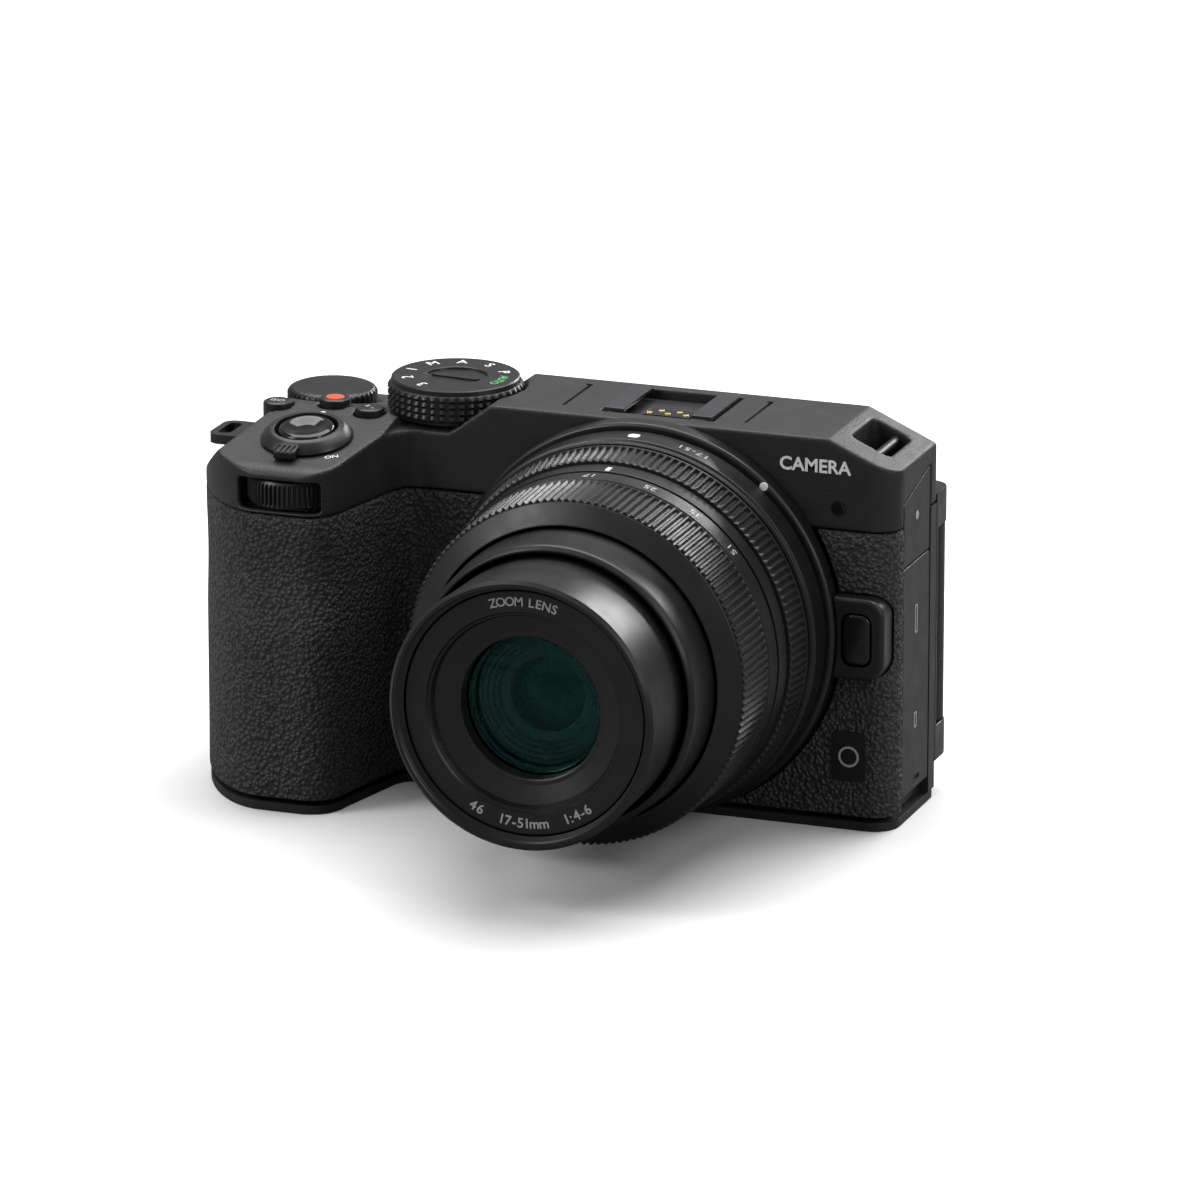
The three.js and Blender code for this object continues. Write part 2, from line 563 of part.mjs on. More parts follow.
function portCovers() {
  const inner = RIGHT_X - PANEL_THICKNESS - 0.1;
  const outer = RIGHT_X - 0.1;
  const upper = panelShape(PANEL.split + GAP, PANEL.frontTop, PANEL.backTop, 0);
  const lower = panelShape(PANEL.bottom, PANEL.split, PANEL.split, 0);
  addPiece('mic_cover', rail(upper, inner, outer), MATT_BLACK);
  addPiece('port_cover', rail(lower, inner, outer), MATT_BLACK);
}

function monitor() {
  const { left, right, bottom, top, front, back } = MONITOR;
  const { x, y } = HINGE_AXIS;
  const low = bottom + KNUCKLE_HEIGHT;
  const high = top - KNUCKLE_HEIGHT;
  let bracket = box(x - 2.4, RIGHT_X, BACK_Y + GAP, y - KNUCKLE_RADIUS - GAP, bottom, top);
  for (const [z0, z1] of [[bottom, low], [high, top]]) {
    bracket = bracket.add(drumZ(KNUCKLE_RADIUS, z0, z1, x, y, SMALL));
    bracket = bracket.add(box(x - 2.4, RIGHT_X, BACK_Y + GAP, y, z0, z1));
  }
  addPiece('hinge_bracket', bracket, DARK_METAL);
  let shell = slab(roundedRect(left, right, bottom, top, 3), front, back);
  shell = shell.subtract(slab(roundedRect(left + 2.4, right - 2.4, 9.3, 53.2, 1.5), back - 1.6, FAR));
  shell = shell.add(box(right - 2, x, y - 1.4, y + 1.4, low + GAP, high - GAP));
  shell = shell.add(drumZ(KNUCKLE_RADIUS - 0.2, low + GAP, high - GAP, x, y, SMALL));
  addPiece('monitor_shell', shell, MATT_BLACK);
  const pane = roundedRect(left + 2.7, right - 2.7, 9.6, 52.9, 1.2);
  addPiece('monitor_glass', slab(pane, back - 1.3, back - 0.1), { color: 0x0a0b0d, roughness: 0.08, metalness: 0 });
}

function thumbRest() {
  const pad = roundedRect(-79, -62.5, 38, 53.6, 4);
  addPiece('thumb_rest', slab(pad, THUMB_Y + GAP, THUMB_Y + 2.6), RUBBER);
}

function lensMount() {
  let mount = turned([
    [11.3, -1], [11.3, 0.8], [TUBE_RADIUS - 1.6, 0.8], [TUBE_RADIUS - 1.6, 4.2],
    [TUBE_RADIUS, 4.2], [TUBE_RADIUS, 0], [31.6, 0], [31.6, -1],
  ]);
  for (let k = 0; k < 3; k += 1) {
    const from = k * Math.PI * 2 / 3;
    const tab = ringSector(TUBE_RADIUS - 0.5, THROAT - GAP, from, from + TAB_SPAN);
    mount = mount.add(slab(tab, 3, 4.2));
  }
  const slack = 0.1;
  const groove = ringSector(PIN_ORBIT - 1.4, PIN_ORBIT + 1.4, -slack, TWIST_SPAN + slack);
  mount = mount.subtract(slab(groove, -2, 1));
  addPiece('lens_mount', mount, STEEL);
  const rear = turned([[0, -6], [8, -5.2], [11, -3.6], [11, -0.4], [6, 0.3], [0, 0.6]], MEDIUM);
  addPiece('rear_element', rear, GLASS);
}

function lensRings() {
  const base = turned([
    [27.6, -1.4], [31.9, -1.4], [31.9, -0.6], [BASE_RADIUS, -0.6],
    [BASE_RADIUS - 0.3, CONTROL_BACK_Y + GAP], [30.9, CONTROL_BACK_Y + GAP],
    [30.9, CONTROL_FRONT_Y - GAP], [32.1, CONTROL_FRONT_Y - GAP],
    [31.8, INDEX_FRONT_Y], [28.9, INDEX_FRONT_Y], [28.9, -32], [27.6, -32],
  ]);
  addPiece('lens_base_barrel', base, SATIN_BLACK);
  const control = turned([
    [31.2, CONTROL_BACK_Y], [33.7, CONTROL_BACK_Y], [32.9, CONTROL_FRONT_Y], [31.2, CONTROL_FRONT_Y],
  ]);
  addPiece('control_ring', control, SATIN_BLACK);
  const zoom = turned([
    [29.2, INDEX_FRONT_Y - GAP], [31.6, INDEX_FRONT_Y - GAP], [31, ZOOM_FRONT_Y],
    [FACE_OPENING, FACE_Y], [FACE_OPENING, FACE_Y + 1.6], [29.2, ZOOM_FRONT_Y + 0.8],
  ]);
  addPiece('zoom_ring', zoom, SATIN_BLACK);
}

function lensBarrels() {
  const middle = turned([
    [24.6, -20], [26.3, -20], [26.3, FACE_Y], [MIDDLE_RADIUS, MIDDLE_FRONT_Y], [24.6, MIDDLE_FRONT_Y],
  ]);
  addPiece('middle_barrel', middle, SATIN_BLACK);
  const front = turned([
    [21.9, -37.5], [23.6, -37.5], [23.6, -46], [RIM_RADIUS, FRONT_RIM_Y + 1],
    [RIM_RADIUS, FRONT_RIM_Y], [22.6, FRONT_RIM_Y], [21.9, FRONT_RIM_Y + 1.4],
  ]);
  addPiece('front_barrel', front, SATIN_BLACK);
  const name = turned([
    [21.6, -58.6], [17.3, -58.2], [16.8, -56.8], [GLASS_RADIUS + 0.4, -55.2],
    [GLASS_RADIUS + 0.4, -52.6], [21.6, -55.4],
  ]);
  addPiece('name_ring', name, SATIN_BLACK);
  addPiece('front_element', frontElement(), GLASS);
  addPiece('aperture_unit', ringY(6, 21.5, -46, -43), SATIN_BLACK);
}

// Front lens: a domed front and a flat back.
function frontElement() {
  const rise = 2;
  const domeRadius = (GLASS_RADIUS ** 2 + rise ** 2) / (2 * rise);
  const points = [[0, -50.6], [GLASS_RADIUS, -50.6]];
  const steps = 5;
  for (let k = steps; k >= 0; k -= 1) {
    const radius = GLASS_RADIUS * k / steps;
    const sag = domeRadius - Math.sqrt(domeRadius ** 2 - radius ** 2);
    points.push([radius, GLASS_Y + sag]);
  }
  return turned(points, MEDIUM);
}

topCover();
frontCover();
rubberSkins();
rearCover();
basePlate();
batteryBay();
internals();
mountRings();
releaseCatch();
buttons();
dials();
shutterGroup();
hotShoe();
strapFittings();
portCovers();
monitor();
thumbRest();
lensMount();
lensRings();
lensBarrels();

export default camera;
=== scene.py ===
import json
import math

import bmesh
import bpy
from mathutils import Matrix, Vector


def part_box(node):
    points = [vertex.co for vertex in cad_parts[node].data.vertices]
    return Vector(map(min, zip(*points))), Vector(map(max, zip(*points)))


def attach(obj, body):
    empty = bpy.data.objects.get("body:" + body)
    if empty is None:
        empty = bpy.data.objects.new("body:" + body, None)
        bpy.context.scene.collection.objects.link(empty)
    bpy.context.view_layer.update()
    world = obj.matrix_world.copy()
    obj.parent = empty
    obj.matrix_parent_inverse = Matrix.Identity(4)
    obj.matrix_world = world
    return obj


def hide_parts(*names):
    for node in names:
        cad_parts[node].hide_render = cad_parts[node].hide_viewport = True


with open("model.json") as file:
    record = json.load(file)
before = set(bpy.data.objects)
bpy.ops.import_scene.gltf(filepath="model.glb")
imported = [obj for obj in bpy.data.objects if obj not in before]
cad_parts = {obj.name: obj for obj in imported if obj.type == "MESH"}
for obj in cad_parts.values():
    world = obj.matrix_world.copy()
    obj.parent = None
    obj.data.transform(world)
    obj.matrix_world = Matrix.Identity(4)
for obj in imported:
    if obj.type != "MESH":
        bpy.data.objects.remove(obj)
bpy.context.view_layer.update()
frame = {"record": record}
RECORD = frame["record"]
MM = 0.001
FAR = 0.2
BODY_OF = {node: body for body, nodes in RECORD["behaviour"]["bodies"].items() for node in nodes}


def low(node):
    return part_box(node)[0]


def high(node):
    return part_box(node)[1]


def centre(node):
    return (low(node) + high(node)) / 2


# Body envelope, from the frame
RIGHT = high("rear_cover").x
LEFT = low("rear_cover").x
FRONT = low("leatherette").y
GRIP_FRONT = low("grip_rubber").y
THUMB_BACK = high("rear_cover").y
GAP = 0.3 * MM
BACK = low("hinge_bracket").y - GAP
SEAM = low("top_cover").z
TOP = high("top_cover").z
COVER_BOTTOM = low("front_cover").z
COVER_TOP = high("front_cover").z
SKIN = 1.0 * MM
WALL = 1.6 * MM
BODY_SPLIT = high("grip_rubber").y
MOUNT = low("mount_trim").y
AXIS = centre("mount_trim")
THUMB_X = RIGHT - 83.5 * MM

# Grip head: heights of its deck and the notch for the mode dial
LIP_Z = TOP - 8.3 * MM
RIDGE = (FRONT + 3 * MM, TOP - 3.6 * MM)
STEP = (FRONT + 10 * MM, TOP - 5 * MM)
TAIL_Z = TOP - 8.5 * MM
HEAD_X = LEFT + 35 * MM
NOTCH_Z = TOP - 5.7 * MM
NOTCH_X = LEFT + 45 * MM
ROOF_LEFT = LEFT + 52.8 * MM
ROOF_RIGHT = RIGHT - 12.5 * MM
CHAMFER_Z = TOP - 5.6 * MM
SHOULDER_X = LEFT + 12.5 * MM
SHOULDER_BEND = (LEFT + 7.5 * MM, TOP - 8.5 * MM)
SHOULDER_Z = SEAM + 0.4 * MM
DECK_TILT = math.atan2(RIDGE[1] - LIP_Z, RIDGE[0] - GRIP_FRONT)

# The lens axis as a frame whose Z runs forward out of the mount
LENS = Matrix.Translation((AXIS.x, MOUNT, AXIS.z)) @ Matrix.Rotation(math.pi / 2, 4, "X")
EDGE_ANGLE = math.radians(38)


# ---------------------------------------------------------------- materials

class Graph:
    """Short hand for wiring a node material."""

    def __init__(self, name):
        self.material = bpy.data.materials.new(name)
        self.material.use_nodes = True
        self.tree = self.material.node_tree
        self.tree.nodes.clear()
        self.output = self.add("ShaderNodeOutputMaterial")
        self.shader = self.add("ShaderNodeBsdfPrincipled")
        self.link(self.shader, "BSDF", self.output, "Surface")
        self.coordinates = self.add("ShaderNodeTexCoord")

    def add(self, kind, **values):
        node = self.tree.nodes.new(kind)
        for key, value in values.items():
            setattr(node, key, value)
        return node

    def link(self, source, output, target, value):
        self.tree.links.new(source.outputs[output], target.inputs[value])

    def noise(self, size, detail=3.0, roughness=0.6, source=None):
        """Noise whose features are about size metres across."""
        node = self.add("ShaderNodeTexNoise")
        node.inputs["Scale"].default_value = 1 / size
        node.inputs["Detail"].default_value = detail
        node.inputs["Roughness"].default_value = roughness
        source = source or self.coordinates
        self.link(source, "Object" if source is self.coordinates else "Vector", node, "Vector")
        return node

    def spread(self, source, output, lowest, highest):
        """Maps 0.3 to 0.7 of a texture onto the given values."""
        node = self.add("ShaderNodeMapRange")
        node.inputs["From Min"].default_value = 0.3
        node.inputs["From Max"].default_value = 0.7
        node.inputs["To Min"].default_value = lowest
        node.inputs["To Max"].default_value = highest
        self.link(source, output, node, "Value")
        return node

    def mix(self, factor, factor_output, first, second):
        node = self.add("ShaderNodeMix", data_type="RGBA")
        node.inputs[6].default_value = (*first, 1)
        node.inputs[7].default_value = (*second, 1)
        self.link(factor, factor_output, node, "Factor")
        return node

    def bump(self, source, output, depth, previous=None):
        node = self.add("ShaderNodeBump")
        node.inputs["Distance"].default_value = depth
        node.inputs["Strength"].default_value = 1.0
        self.link(source, output, node, "Height")
        if previous:
            self.link(previous, "Normal", node, "Normal")
        return node


def scaled(colour, factor):
    return tuple(min(1.0, channel * factor) for channel in colour)


def cloudy_tone_with_edge_highlight(graph, colour, edge_highlight):
    """Cloudy base colour that turns lighter on convex edges: a painted highlight along the edges."""
    clouds = graph.noise(9 * MM, 4)
    share = graph.spread(clouds, "Fac", 0.0, 1.0)
    base = graph.mix(share, "Result", scaled(colour, 0.82), scaled(colour, 1.15))
    # Pointiness lightens the convex edges: painted highlight.
    geometry = graph.add("ShaderNodeNewGeometry")
    edges = graph.add("ShaderNodeMapRange")
    edges.inputs["From Min"].default_value = 0.53
    edges.inputs["From Max"].default_value = 0.62
    edges.inputs["To Max"].default_value = 0.55
    graph.link(geometry, "Pointiness", edges, "Value")
    tone = graph.add("ShaderNodeMix", data_type="RGBA")
    tone.inputs[7].default_value = (*edge_highlight, 1)
    graph.link(edges, "Result", tone, "Factor")
    graph.link(base, 2, tone, 6)
    return tone


def plastic(name, colour, roughness, grain=0.25 * MM, depth=0.012 * MM, edge_highlight=None, spread=0.07):
    """Moulded plastic with a fine spark-eroded grain and cloudy roughness, and a painted highlight on its convex edges.
    """
    graph = Graph(name)
    # Convex edges get a painted highlight, 2.2 times the base colour unless another is given.
    tone = cloudy_tone_with_edge_highlight(graph, colour, edge_highlight or scaled(colour, 2.2))
    graph.link(tone, 2, graph.shader, "Base Color")
    clouds = graph.noise(5 * MM, 5)
    rough = graph.spread(clouds, "Fac", roughness - spread, roughness + spread)
    graph.link(rough, "Result", graph.shader, "Roughness")
    grains = graph.noise(grain, 2, 0.5)
    graph.link(graph.bump(grains, "Fac", depth), "Normal", graph.shader, "Normal")
    graph.shader.inputs["Specular IOR Level"].default_value = 0.4
    return graph.material


def leather(name, colour, pebble, depth):
    """Rubber skin with a pebbled leather grain; its colour is darker in the creases, painted shade, and lighter on the
    pebble tops, painted highlight.
    """
    graph = Graph(name)
    warp = graph.noise(2.6 * MM, 2)
    offset = graph.add("ShaderNodeVectorMath", operation="MULTIPLY_ADD")
    offset.inputs[1].default_value = (0.9 * MM,) * 3
    graph.link(warp, "Color", offset, 0)
    graph.link(graph.coordinates, "Object", offset, 2)
    cells = graph.add("ShaderNodeTexVoronoi", feature="SMOOTH_F1")
    cells.inputs["Scale"].default_value = 1 / pebble
    cells.inputs["Smoothness"].default_value = 0.35
    graph.link(offset, "Vector", cells, "Vector")
    creases = graph.add("ShaderNodeMapRange")
    creases.inputs["From Min"].default_value = 0.1
    creases.inputs["From Max"].default_value = 0.75
    creases.inputs["To Min"].default_value = 1.0
    creases.inputs["To Max"].default_value = 0.0
    graph.link(cells, "Distance", creases, "Value")
    # Painted shade in the creases and painted highlight on the pebble tops.
    tone = graph.mix(creases, "Result", scaled(colour, 0.5), scaled(colour, 1.7))
    graph.link(tone, 2, graph.shader, "Base Color")
    rough = graph.add("ShaderNodeMapRange")
    rough.inputs["To Min"].default_value = 0.7
    rough.inputs["To Max"].default_value = 0.42
    graph.link(creases, "Result", rough, "Value")
    graph.link(rough, "Result", graph.shader, "Roughness")
    coarse = graph.bump(creases, "Result", depth)
    fine = graph.bump(graph.noise(0.35 * MM, 3), "Fac", depth * 0.22, coarse)
    graph.link(fine, "Normal", graph.shader, "Normal")
    graph.shader.inputs["Specular IOR Level"].default_value = 0.4
    return graph.material


def metal(name, colour, roughness, grain=0.15 * MM, stretch=(1, 1, 1)):
    """Metal with fine tooling marks along one direction, and a painted highlight on its convex edges."""
    graph = Graph(name)
    # Convex edges get a painted highlight, 1.4 times the base colour.
    tone = cloudy_tone_with_edge_highlight(graph, colour, scaled(colour, 1.4))
    graph.link(tone, 2, graph.shader, "Base Color")
    graph.shader.inputs["Metallic"].default_value = 1.0
    mapping = graph.add("ShaderNodeMapping")
    mapping.inputs["Scale"].default_value = stretch
    graph.link(graph.coordinates, "Object", mapping, "Vector")
    marks = graph.noise(grain, 4, 0.6, mapping)
    rough = graph.spread(marks, "Fac", roughness - 0.08, roughness + 0.1)
    graph.link(rough, "Result", graph.shader, "Roughness")
    graph.link(graph.bump(marks, "Fac", 0.004 * MM), "Normal", graph.shader, "Normal")
    return graph.material


def paint(name, colour, roughness=0.5, patch=0.8 * MM, uneven=0.86):
    """Printed or inlaid ink, or a painted sheet, with a slightly uneven face."""
    graph = Graph(name)
    patches = graph.noise(patch, 3)
    share = graph.spread(patches, "Fac", 0.0, 1.0)
    tone = graph.mix(share, "Result", scaled(colour, uneven), colour)
    graph.link(tone, 2, graph.shader, "Base Color")
    rough = graph.spread(patches, "Fac", roughness - 0.1, roughness + 0.1)
    graph.link(rough, "Result", graph.shader, "Roughness")
    graph.link(graph.bump(patches, "Fac", 0.003 * MM), "Normal", graph.shader, "Normal")
    return graph.material


def pale_sweep(name, colour, bounce):
    """Studio floor: pale to the camera, and throwing only part of its light back at the object."""
    material = paint(name, colour, 0.7, 200 * MM, 0.98)
    tree = material.node_tree
    shader = next(node for node in tree.nodes if node.type == "BSDF_PRINCIPLED")
    tone = shader.inputs["Base Color"].links[0].from_socket
    rays = tree.nodes.new("ShaderNodeLightPath")
    seen = tree.nodes.new("ShaderNodeMix")
    seen.data_type = "RGBA"
    seen.inputs[6].default_value = (*scaled(colour, bounce), 1)
    tree.links.new(rays.outputs["Is Camera Ray"], seen.inputs["Factor"])
    tree.links.new(tone, seen.inputs[7])
    tree.links.new(seen.outputs[2], shader.inputs["Base Color"])
    return material


def coated_glass(name, tint, reflection):
    """Lens glass: clear and tinted, with a coloured coating whose reflection colour is painted into the base colour
    towards the rim.
    """
    graph = Graph(name)
    shader = graph.shader
    shader.inputs["Base Color"].default_value = (*tint, 1)
    shader.inputs["Transmission Weight"].default_value = 1.0
    shader.inputs["IOR"].default_value = 1.32
    shader.inputs["Specular Tint"].default_value = (*reflection, 1)
    haze = graph.noise(4 * MM, 4)
    rough = graph.spread(haze, "Fac", 0.0, 0.03)
    graph.link(rough, "Result", shader, "Roughness")
    # Base colour turns to the reflection colour towards the rim: a painted reflection of the coating.
    facing = graph.add("ShaderNodeLayerWeight")
    facing.inputs["Blend"].default_value = 0.35
    tone = graph.mix(facing, "Facing", tint, reflection)
    graph.link(tone, 2, shader, "Base Color")
    return graph.material


def screen_glass(name, colour):
    """Black cover glass with faint smears."""
    graph = Graph(name)
    smears = graph.noise(14 * MM, 5, 0.7)
    tone = graph.mix(graph.spread(smears, "Fac", 0, 1), "Result", colour, scaled(colour, 1.4))
    graph.link(tone, 2, graph.shader, "Base Color")
    rough = graph.spread(smears, "Fac", 0.05, 0.16)
    graph.link(rough, "Result", graph.shader, "Roughness")
    graph.shader.inputs["Coat Weight"].default_value = 0.4
    return graph.material


BLACK = (0.0095, 0.0095, 0.01)
FINISHES = {
    "cover": plastic("cover_grain", scaled(BLACK, 1.7), 0.48, 0.42 * MM, 0.08 * MM, spread=0.05),
    # Panel plastic: its painted edge highlight is 2.0 times the base colour.
    "panel": plastic("panel_grain", scaled(BLACK, 1.7), 0.48, 0.42 * MM, 0.08 * MM, scaled(BLACK, 2.0), 0.05),
    "satin": plastic("satin_black", scaled(BLACK, 0.8), 0.36, 0.3 * MM, 0.005 * MM),
    "lens": plastic("lens_black", scaled(BLACK, 0.6), 0.36, 0.22 * MM, 0.004 * MM, spread=0.05),
    "knurl": plastic("knurled_black", scaled(BLACK, 0.8), 0.4, 0.3 * MM, 0.004 * MM),
    "gloss": plastic("gloss_black", scaled(BLACK, 0.6), 0.12, 0.6 * MM, 0.002 * MM, spread=0.04),
    # Matt black for the disc behind the pupil, which is painted shade.
    "matt": plastic("matt_black_shade", scaled(BLACK, 0.45), 0.82, 0.2 * MM, 0.02 * MM),
    "band": plastic("index_band", scaled(BLACK, 1.8), 0.33, 0.22 * MM, 0.004 * MM, spread=0.05),
    "rubber": leather("leather_grain", scaled(BLACK, 3.8), 0.75 * MM, 0.42 * MM),
    "thumb": leather("thumb_grain", scaled(BLACK, 3.0), 0.75 * MM, 0.25 * MM),
    "steel": metal("turned_steel", (0.6, 0.6, 0.58), 0.3),
    "dark_metal": metal("coated_metal", (0.055, 0.055, 0.058), 0.4),
    "rail": metal("shoe_metal", (0.1, 0.1, 0.105), 0.36, stretch=(1, 8, 1)),
    "gold": metal("contact_gold", (0.83, 0.6, 0.24), 0.25),
    "white": paint("white_ink", (0.82, 0.82, 0.82)),
    "grey": paint("grey_ink", (0.42, 0.42, 0.43)),
    "green": paint("green_ink", (0.12, 0.42, 0.14)),
    "red": plastic("signal_red", (0.62, 0.085, 0.02), 0.35, 0.3 * MM, 0.006 * MM),
    "board": plastic("solder_mask", (0.02, 0.12, 0.06), 0.4, 0.5 * MM, 0.02 * MM),
    "label": plastic("grey_label", (0.09, 0.09, 0.1), 0.45, 0.4 * MM, 0.006 * MM),
    "glass": coated_glass("coated_glass", (0.5, 0.78, 0.73), (0.3, 0.7, 0.6)),
    # Teal on the black baffles and iris plate: a painted reflection of the lens coatings.
    "teal": paint("teal_painted_reflection", (0.0006, 0.018, 0.0155), 0.25, 5 * MM, 0.5),
    "sensor": plastic("sensor_filter", (0.03, 0.05, 0.1), 0.08, 0.4 * MM, 0.002 * MM),
    "inner_glass": coated_glass("inner_glass", (0.2, 0.42, 0.39), (0.5, 0.9, 0.8)),
    "screen": screen_glass("screen_glass", (0.006, 0.006, 0.007)),
    "display": screen_glass("display_glass", (0.012, 0.013, 0.016)),
    "floor": pale_sweep("pale_floor", (0.9, 0.9, 0.9), 0.2),
}


# ---------------------------------------------------------------- mesh helpers

def shade(mesh, angle=EDGE_ANGLE):
    for polygon in mesh.polygons:
        polygon.use_smooth = True
    mesh.set_sharp_from_angle(angle=angle)


def add_mesh(name, vertices, faces):
    """A mesh object from points and faces, merged and with its faces turned outward."""
    mesh = bpy.data.meshes.new(name)
    mesh.from_pydata([tuple(v) for v in vertices], [], faces)
    work = bmesh.new()
    work.from_mesh(mesh)
    bmesh.ops.remove_doubles(work, verts=work.verts, dist=0.0005 * MM)
    bmesh.ops.dissolve_degenerate(work, edges=work.edges, dist=0.0005 * MM)
    bmesh.ops.recalc_face_normals(work, faces=work.faces)
    work.to_mesh(mesh)
    work.free()
    shade(mesh)
    made = bpy.data.objects.new(name, mesh)
    bpy.context.scene.collection.objects.link(made)
    return made


def settle(piece):
    """Applies a piece's modifiers."""
    bpy.context.view_layer.update()
    graph = bpy.context.evaluated_depsgraph_get()
    mesh = bpy.data.meshes.new_from_object(piece.evaluated_get(graph))
    piece.modifiers.clear()
    piece.data = mesh
    return piece


def carve(piece, tool, operation="DIFFERENCE"):
    """Joins or cuts a piece with a tool object, which is used up."""
    modifier = piece.modifiers.new("carve", "BOOLEAN")
    modifier.operation = operation
    modifier.solver = "MANIFOLD"
    modifier.object = tool
    settle(piece)
    bpy.data.objects.remove(tool)
    return piece


def join(piece, *others):
    """Adds the meshes of other objects to a piece as they stand."""
    work = bmesh.new()
    work.from_mesh(piece.data)
    for other in others:
        work.from_mesh(other.data)
        bpy.data.objects.remove(other)
    work.to_mesh(piece.data)
    work.free()
    shade(piece.data)
    return piece


def soften(piece, voxel, rounds, keep=0.35):
    """Rounds every edge: rebuilds the surface on a fine grid, relaxes it and thins it out."""
    remesh = piece.modifiers.new("remesh", "REMESH")
    remesh.mode = "VOXEL"
    remesh.voxel_size = voxel
    relax = piece.modifiers.new("relax", "SMOOTH")
    relax.factor = 0.5
    relax.iterations = rounds
    thin = piece.modifiers.new("thin", "DECIMATE")
    thin.ratio = keep
    settle(piece)
    shade(piece.data, math.radians(60))
    return piece


def bevel(piece, width, segments=3, angle=math.radians(35)):
    """Rounds the sharp edges, after joining the flat facets that a cut leaves behind."""
    work = bmesh.new()
    work.from_mesh(piece.data)
    bmesh.ops.dissolve_limit(work, angle_limit=math.radians(0.3), verts=work.verts, edges=work.edges)
    work.to_mesh(piece.data)
    work.free()
    edge = piece.modifiers.new("bevel", "BEVEL")
    edge.width = width
    edge.segments = segments
    edge.limit_method = "ANGLE"
    edge.angle_limit = angle
    edge.harden_normals = False
    settle(piece)
    shade(piece.data)
    return piece


def prism(name, points, place, start, end):
    """Closed 2D outline carried from start to end along the Z axis of place."""
    count = len(points)
    vertices = [place @ Vector((x, y, start)) for x, y in points]
    vertices += [place @ Vector((x, y, end)) for x, y in points]
    faces = [tuple(range(count)), tuple(range(count, 2 * count))]
    faces += [(k, (k + 1) % count, count + (k + 1) % count, count + k) for k in range(count)]
    return add_mesh(name, vertices, faces)


PLAN = Matrix.Identity(4)
# Frames whose X and Y are the object's X and Z (front view) or Y and Z (side view)
ELEVATION = Matrix(((1, 0, 0, 0), (0, 0, 1, 0), (0, 1, 0, 0), (0, 0, 0, 1)))
SIDE = Matrix(((0, 0, 1, 0), (1, 0, 0, 0), (0, 1, 0, 0), (0, 0, 0, 1)))


def block(name, lowest, highest):
    x0, y0, z0 = lowest
    x1, y1, z1 = highest
    return prism(name, [(x0, y0), (x1, y0), (x1, y1), (x0, y1)], PLAN, z0, z1)


def arc(x, y, radius, start, end, steps=8):
    """Points on an arc, angles in degrees."""
    turns = [math.radians(start + (end - start) * k / steps) for k in range(steps + 1)]
    return [(x + radius * math.cos(t), y + radius * math.sin(t)) for t in turns]


def curve(points, steps=12):
    """Points on a Bezier curve of any order, ends left out."""
    result = []
    for k in range(1, steps):
        t = k / steps
        layer = [Vector(p) for p in points]
        while len(layer) > 1:
            layer = [a.lerp(b, t) for a, b in zip(layer, layer[1:])]
        result.append(tuple(layer[0]))
    return result


def round_rect(x0, x1, y0, y1, radius, steps=6):
    return (arc(x1 - radius, y0 + radius, radius, -90, 0, steps)
            + arc(x1 - radius, y1 - radius, radius, 0, 90, steps)
            + arc(x0 + radius, y1 - radius, radius, 90, 180, steps)
            + arc(x0 + radius, y0 + radius, radius, 180, 270, steps))


def rounded(points, radius, steps=3):
    """Rounds the corners of a closed outline. Corners on the axis stay as they are."""
    result = []
    count = len(points)
    for k, point in enumerate(points):
        corner = Vector(point)
        if corner.x == 0:
            result.append(tuple(corner))
            continue
        before = Vector(points[k - 1]) - corner
        after = Vector(points[(k + 1) % count]) - corner
        start = corner + before.normalized() * min(radius, before.length * 0.45)
        end = corner + after.normalized() * min(radius, after.length * 0.45)
        for step in range(steps + 1):
            t = step / steps
            result.append(tuple(start.lerp(corner, t).lerp(corner.lerp(end, t), t)))
    return result


def revolve(name, place, profile, steps=160):
    """Closed profile of (radius, height) turned about the Z axis of place.
    The profile is a list, or a function of the step that returns one."""
    vertices = []
    faces = []
    for step in range(steps):
        turn = 2 * math.pi * step / steps
        ring = profile(step) if callable(profile) else profile
        for radius, height in ring:
            spot = Vector((radius * math.cos(turn), radius * math.sin(turn), height))
            vertices.append(place @ spot)
    count = len(ring)
    for step in range(steps):
        a = step * count
        b = (step + 1) % steps * count
        for k in range(count):
            m = (k + 1) % count
            faces.append((a + k, a + m, b + m, b + k))
    return add_mesh(name, vertices, faces)


def disc(name, place, radius, start, end, edge=0.2 * MM, steps=64):
    return revolve(name, place, rounded([(0, start), (radius, start), (radius, end), (0, end)], edge), steps)


def upright(x, y, z=0.0):
    """Frame with Z up at a point."""
    return Matrix.Translation((x, y, z))


def facing_front(x, y, z):
    """Frame on a face that looks to -Y: its X is to the right and its Y is up."""
    return Matrix.Translation((x, y, z)) @ Matrix.Rotation(math.pi / 2, 4, "X")


def facing_back(x, y, z):
    """Frame on a face that looks to +Y, read from behind."""
    return facing_front(x, y, z) @ Matrix.Rotation(math.pi, 4, "Y")


def facing_right(x, y, z):
    """Frame on a face that looks to +X."""
    return Matrix.Translation((x, y, z)) @ Matrix.Rotation(math.pi / 2, 4, "Z") @ Matrix.Rotation(math.pi / 2, 4, "X")


# ---------------------------------------------------------------- pieces

def dress(piece, node, finish, detail=False):
    """Gives a piece its finish and lets it ride with a node's body, standing for that node unless it is a detail."""
    piece.data.materials.clear()
    piece.data.materials.append(FINISHES[finish])
    if piece.type == "MESH":
        even = piece.modifiers.new("even", "WEIGHTED_NORMAL")
        even.keep_sharp = True
    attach(piece, BODY_OF[node])
    if not detail:
        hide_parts(node)
    return piece


def detail(piece, node, finish):
    return dress(piece, node, finish, detail=True)


